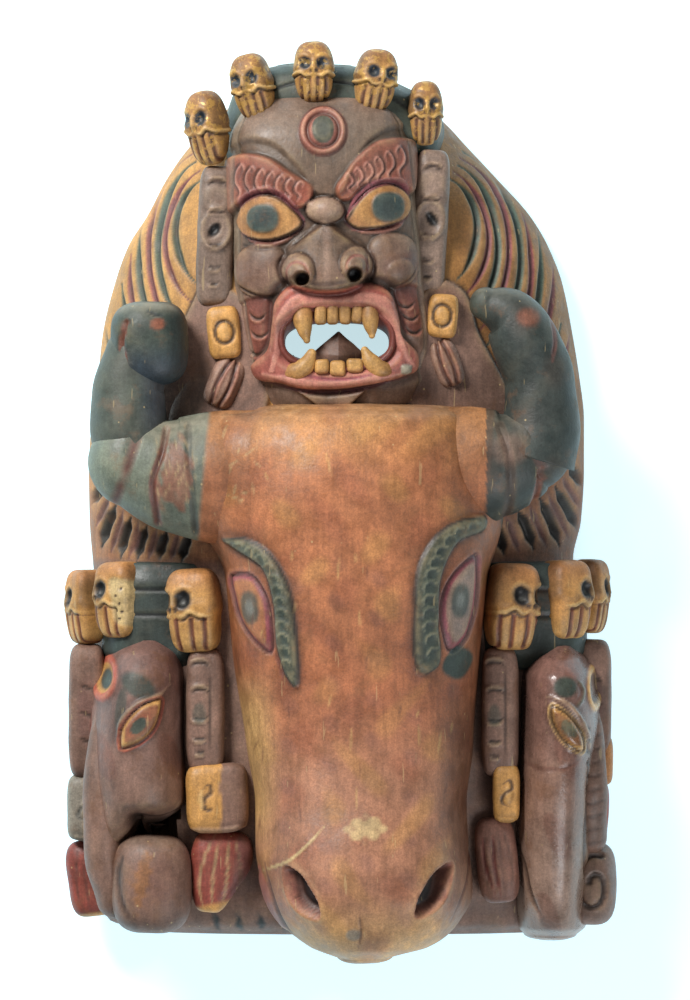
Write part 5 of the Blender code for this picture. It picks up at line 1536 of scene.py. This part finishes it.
# The gums narrow the hole: the middle and half sizes of its smallest opening
GUM_MIDDLE = (-2.0, 105.5)
GUM_HALF = (34.5, 13.0)


def mouth_lining():
    """The gums: a funnel from the lips' inner edge down to the smallest opening, and back up outside it.

    Each ring is a blend by share of the wide hole's curve and the small opening's, at its own height.
    """
    wide = mouth_curve(HOLE_HALF, 0.0, 160)
    small = (wide - MOUTH_MIDDLE) * np.array(GUM_HALF) / HOLE_HALF + GUM_MIDDLE
    way = np.roll(wide, -1, axis=0) - np.roll(wide, 1, axis=0)
    out = np.c_[way[:, 1], -way[:, 0]] / np.linalg.norm(way, axis=1)[:, None]
    section = [(1.0, 0.0, 96), (1.0, 0.0, 103), (0.8, 0.0, 109), (0.35, 0.0, 115), (0.0, 0.0, 119),
               (0.0, 1.4, 121.2), (0.0, 2.8, 121.4), (0.0, 4.2, 119.0), (0.0, 4.4, 110), (0.0, 3.0, 96),
               (0.5, 0.5, 94)]
    rings = np.array([np.c_[wide * (1 - share) + small * share + out * reach,
                            np.full(len(wide), z)] for share, reach, z in section])
    return finish_loop("mouth_lining", rings, "red_dark", PAINTED)


# Teeth: middle x, y, half width, half length; they stand just behind one front height, and each leans by
# its own degrees. Fangs: x, y, z and radius along their length
TOOTH_FRONT = 125.0
TOOTH_DEEP = 6.0
TOOTH_LEAN = (2.0, -1.0, 1.5, -2.5)
UPPER_TEETH = [(-12.8, 124.0, 4.0, 7.0), (-4.8, 124.2, 4.0, 7.2), (3.3, 124.4, 4.1, 7.1),
               (11.2, 124.8, 3.8, 6.8)]
LOWER_TEETH = [(-11.9, 89.4, 4.9, 5.0), (-1.6, 88.0, 5.4, 5.4), (9.8, 90.0, 5.6, 4.8)]
FANGS = {"upper_left_fang": [(-25, 127, 118, 6.8), (-24.6, 120, 120, 6.4), (-23.4, 113, 121, 4.8),
                             (-22, 107, 121, 2.4)], "upper_right_fang": [(19.5, 129, 118, 6.0),
                                                                         (20, 122, 120, 5.8),
                                                                         (20.8, 115, 121, 4.4),
                                                                         (21.2, 110, 121, 2.2)],
         "lower_left_fang": [(-35, 85, 115, 5.0), (-28, 86.5, 119, 6.2), (-22, 91, 120, 5.8),
                             (-18.8, 98, 120, 3.2)], "lower_right_fang": [(34, 86.5, 115, 4.6),
                                                                          (27, 87.5, 119, 6.0),
                                                                          (20.5, 93, 120, 5.4),
                                                                          (16.4, 100, 120, 2.6)]}


def carve_teeth():
    """Square teeth and curved fangs, yellow with dark roots and rubbed tips."""
    for row, teeth, way in (("upper", UPPER_TEETH, 1), ("lower", LOWER_TEETH, -1)):
        for k, (x, y, wide, long) in enumerate(teeth):
            local = pod_grid((wide, long, TOOTH_DEEP), 32, 28, 4.2, 3.6)
            c = Carving(local, "tooth")
            v = local[..., 1] / long * way
            c.tint(soft(0.1, 0.9, v) * 0.6, "orange_dark")
            c.tint(soft(-0.5, -0.95, v) * 0.3, "ochre_dark")
            c.lift += tool_marks(local[..., 0] + 5 * k, local[..., 1], 8.0, 2.5, 0.25)
            settle(c, local, (x, y, TOOTH_FRONT - TOOTH_DEEP - 0.4 * k), 0, TOOTH_LEAN[k])
            finish_grid(f"{row}_tooth_{k + 1}", c, PAINTED, wrapped=True, lifted=True)
    for name, path in FANGS.items():
        points = tube_grid(path, 32, 36, 5)
        c = Carving(points, "tooth")
        share = np.linspace(0, 1, points.shape[0])[:, None] * np.ones(points.shape[:2])
        c.tint(soft(0.5, 0.05, share) * 0.55, "orange_dark")
        c.tint(soft(0.7, 1.0, share) * 0.4, "ochre_light")
        c.lift += tool_marks(c.x, c.y, 9.0, 2.5, 0.2)
        finish_grid(name, c, PAINTED, wrapped=True)


def carve_tongue():
    """The curled tongue: a four-sided roof that rises from its low front edge to a point, dark brown, with a
    painted highlight on its left facet and a painted black shadow along its front edge.
    """
    y = np.linspace(82, 112.8, 40)
    wide = np.interp(y, (82, 99, 112.8), (12.5, 16.5, 0.6))
    deep = np.interp(y, (82, 97, 112.8), (6.0, 9.0, 1.2))
    angle = np.linspace(0, 2 * math.pi, 64, endpoint=False) - math.pi / 2
    a, b = -np.cos(angle), np.sin(angle)
    x = -1.0 + wide[:, None] * (np.sign(a) * np.abs(a) ** 1.7)[None]
    z = 108.0 + deep[:, None] * (np.sign(b) * np.abs(b) ** 1.7)[None]
    points = np.stack([x, np.broadcast_to(y[:, None], x.shape), z], axis=-1)
    c = Carving(points, "tongue")
    # Painted highlight on the left facet, and painted shadow along the front edge
    c.tint(soft(0, -8, c.x) * 0.5, "brown")
    c.tint(soft(97, 90, c.y) * 0.8, "black")
    c.lift += tool_marks(c.x, c.y, 10.0, 4.0, 0.25)
    return finish_grid("tongue", c, PAINTED, wrapped=True)


def hollow_height(x, y):
    """Height of the hollow's ceiling: the log and the two heads drawn in by their walls, zero on the rim."""
    height = np.zeros(x.shape)
    for (table, roundness), side, wall, low, high in (
        ((LOG, 2.3), RIM, WALL, -262, 258),
        ((BULL_HEAD, 2.7), DEEP_SIDE, DEEP_WALL, -231, 30),
        ((UPPER_HEAD, 3.4), DEEP_SIDE, WALL, 85, 240),
    ):
        left, right, front = edges(table, y)
        share = np.abs(x - (left + right) / 2) / ((right - left) / 2 - side)
        reach = np.abs(y - (low + high) / 2) / ((high - low) / 2)
        rise = np.clip(1 - share**roundness, 0, 1) ** (1 / roundness) * np.clip(1 - reach**14, 0,
                                                                                1) ** (1 / 5)
        height = np.maximum(height, (front - wall) * np.where((share < 1) & (reach < 1), rise, 0))
    return height


def carve_back():
    """The flat rim and the hollow behind, hacked out with a gouge: overlapping scallops along the grain."""
    rows, across = 190, 130
    y = even_rows(LOG, rows)
    left, right, _ = edges(LOG, y)
    share = (1 - np.cos(np.linspace(0, math.pi, across))) / 2
    share = 0.45 * share + 0.55 * np.linspace(0, 1, across)
    x = left[:, None] + (right - left)[:, None] * share
    y = np.broadcast_to(y[:, None], x.shape)
    z = hollow_height(x, y)
    c = Carving(np.stack([x, y, z], axis=-1), "bare_wood")
    scallop = np.abs(np.sin(x / 9 + 0.6 * np.sin(y / 31))) * np.abs(np.sin(y / 21 + 0.9 * np.sin(x / 13)))
    c.lift += np.where(z > 6, 1.2 * scallop, 0)
    return finish_grid("hollow_back", c, RAW, drop=mouth_hole(c, 3.0) & (z > 60), flip=True)


for part in LOG_PARTS:
    carve_hair(*part)
carve_face()
carve_bull()
for head_side in ("left", "right"):
    carve_elephant(head_side)
for tube_name in TUBES:
    carve_tube(tube_name)
for pod_name in PODS:
    carve_pod(pod_name)
for skull_name in SKULLS:
    carve_skull(skull_name)
for band_name in ("crown_band", "left_neck", "right_neck", "left_green_band", "right_green_band"):
    carve_band(band_name)
mouth_lining()
carve_teeth()
carve_tongue()
carve_back()

for piece in pieces:
    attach(piece, BODY)
    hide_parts(NODE)


# The pale table, and how bright it is by itself, so that it stays white under the mask too
FLOOR_SIZE = 6.0
FLOOR_DROP = 0.0006
FLOOR_GLOW = 0.8
FLOOR_COLOURS = ((0.64, 0.84, 0.90), (0.62, 0.83, 0.92))
# Lights: name, place and size in metres, watts, colour, and whether it is aimed at the mask
LIGHTS = [
    ("key", (-1.25, 1.65, 1.75), 0.8, 98, (1.0, 0.98, 0.95), True),
    ("fill", (1.2, -1.5, 1.9), 1.2, 32, (0.96, 0.98, 1.0), True),
    ("under_mask", (0.0, 0.02, 0.045), 0.1, 0.008, (0.80, 0.93, 1.0), False),
]
SKY_COLOUR = (0.95, 0.98, 1.0, 1.0)
SKY_STRENGTH = 0.25


def pale_floor():
    """A plain square of pale table just under the rim."""
    half = FLOOR_SIZE / 2
    mesh = bpy.data.meshes.new("floor")
    corners = [(a * half, b * half, -FLOOR_DROP) for a, b in ((-1, -1), (1, -1), (1, 1), (-1, 1))]
    mesh.from_pydata(corners, [], [(0, 1, 2, 3)])
    f = Finish("pale_table")
    colour = f.mix(f.between(f.noise(1.2, 2.0), 0.3, 0.7), *FLOOR_COLOURS)
    f.feed(f.shader.inputs["Base Color"], colour)
    f.feed(f.shader.inputs["Emission Color"], colour)
    f.shader.inputs["Emission Strength"].default_value = FLOOR_GLOW
    f.shader.inputs["Roughness"].default_value = 0.9
    mesh.materials.append(f.material)
    floor = bpy.data.objects.new("floor", mesh)
    bpy.context.scene.collection.objects.link(floor)


def soft_light(name, place, size, power, colour, aimed):
    """A square studio light that looks at the mask, or straight down where it isn't aimed."""
    data = bpy.data.lights.new(name, "AREA")
    data.size, data.energy, data.color = size, power, colour
    light = bpy.data.objects.new(name, data)
    x, y, z = place
    light.location = place
    if aimed:
        light.rotation_euler = (math.atan2(math.hypot(x, y), z), 0.0, math.atan2(x, -y))
    bpy.context.scene.collection.objects.link(light)


def studio():
    """Soft light from the crown's left, weaker light from the other side, and an even pale sky."""
    for light in LIGHTS:
        soft_light(*light)
    world = bpy.data.worlds.new("pale_sky")
    world.use_nodes = True
    sky = world.node_tree.nodes["Background"]
    sky.inputs["Color"].default_value = SKY_COLOUR
    sky.inputs["Strength"].default_value = SKY_STRENGTH
    bpy.context.scene.world = world


# The camera looks straight down on the mask through a long lens, as the photograph does
CAMERA_HEIGHT = 6.0
VIEW_DEPTH = 0.1
IMAGE_HEIGHT = 1000
SENSOR = 36.0
FARTHEST_SEEN = 50


def camera():
    """A camera above the photograph's middle, framed at PIXELS_PER_UNIT at the depth of the carving."""
    data = bpy.data.cameras.new("camera")
    data.sensor_fit = "VERTICAL"
    data.sensor_height = SENSOR
    tall = IMAGE_HEIGHT / PIXELS_PER_UNIT * UNIT
    data.lens = SENSOR * (CAMERA_HEIGHT - VIEW_DEPTH) / tall
    data.clip_end = FARTHEST_SEEN
    eye = bpy.data.objects.new("camera", data)
    x, y = (np.array(VIEW_MIDDLE) - PLAN_MIDDLE[:2]) * UNIT
    eye.location = (x, y, CAMERA_HEIGHT)
    bpy.context.scene.collection.objects.link(eye)
    bpy.context.scene.camera = eye


pale_floor()
studio()
camera()
bpy.context.scene.view_settings.view_transform = "Standard"
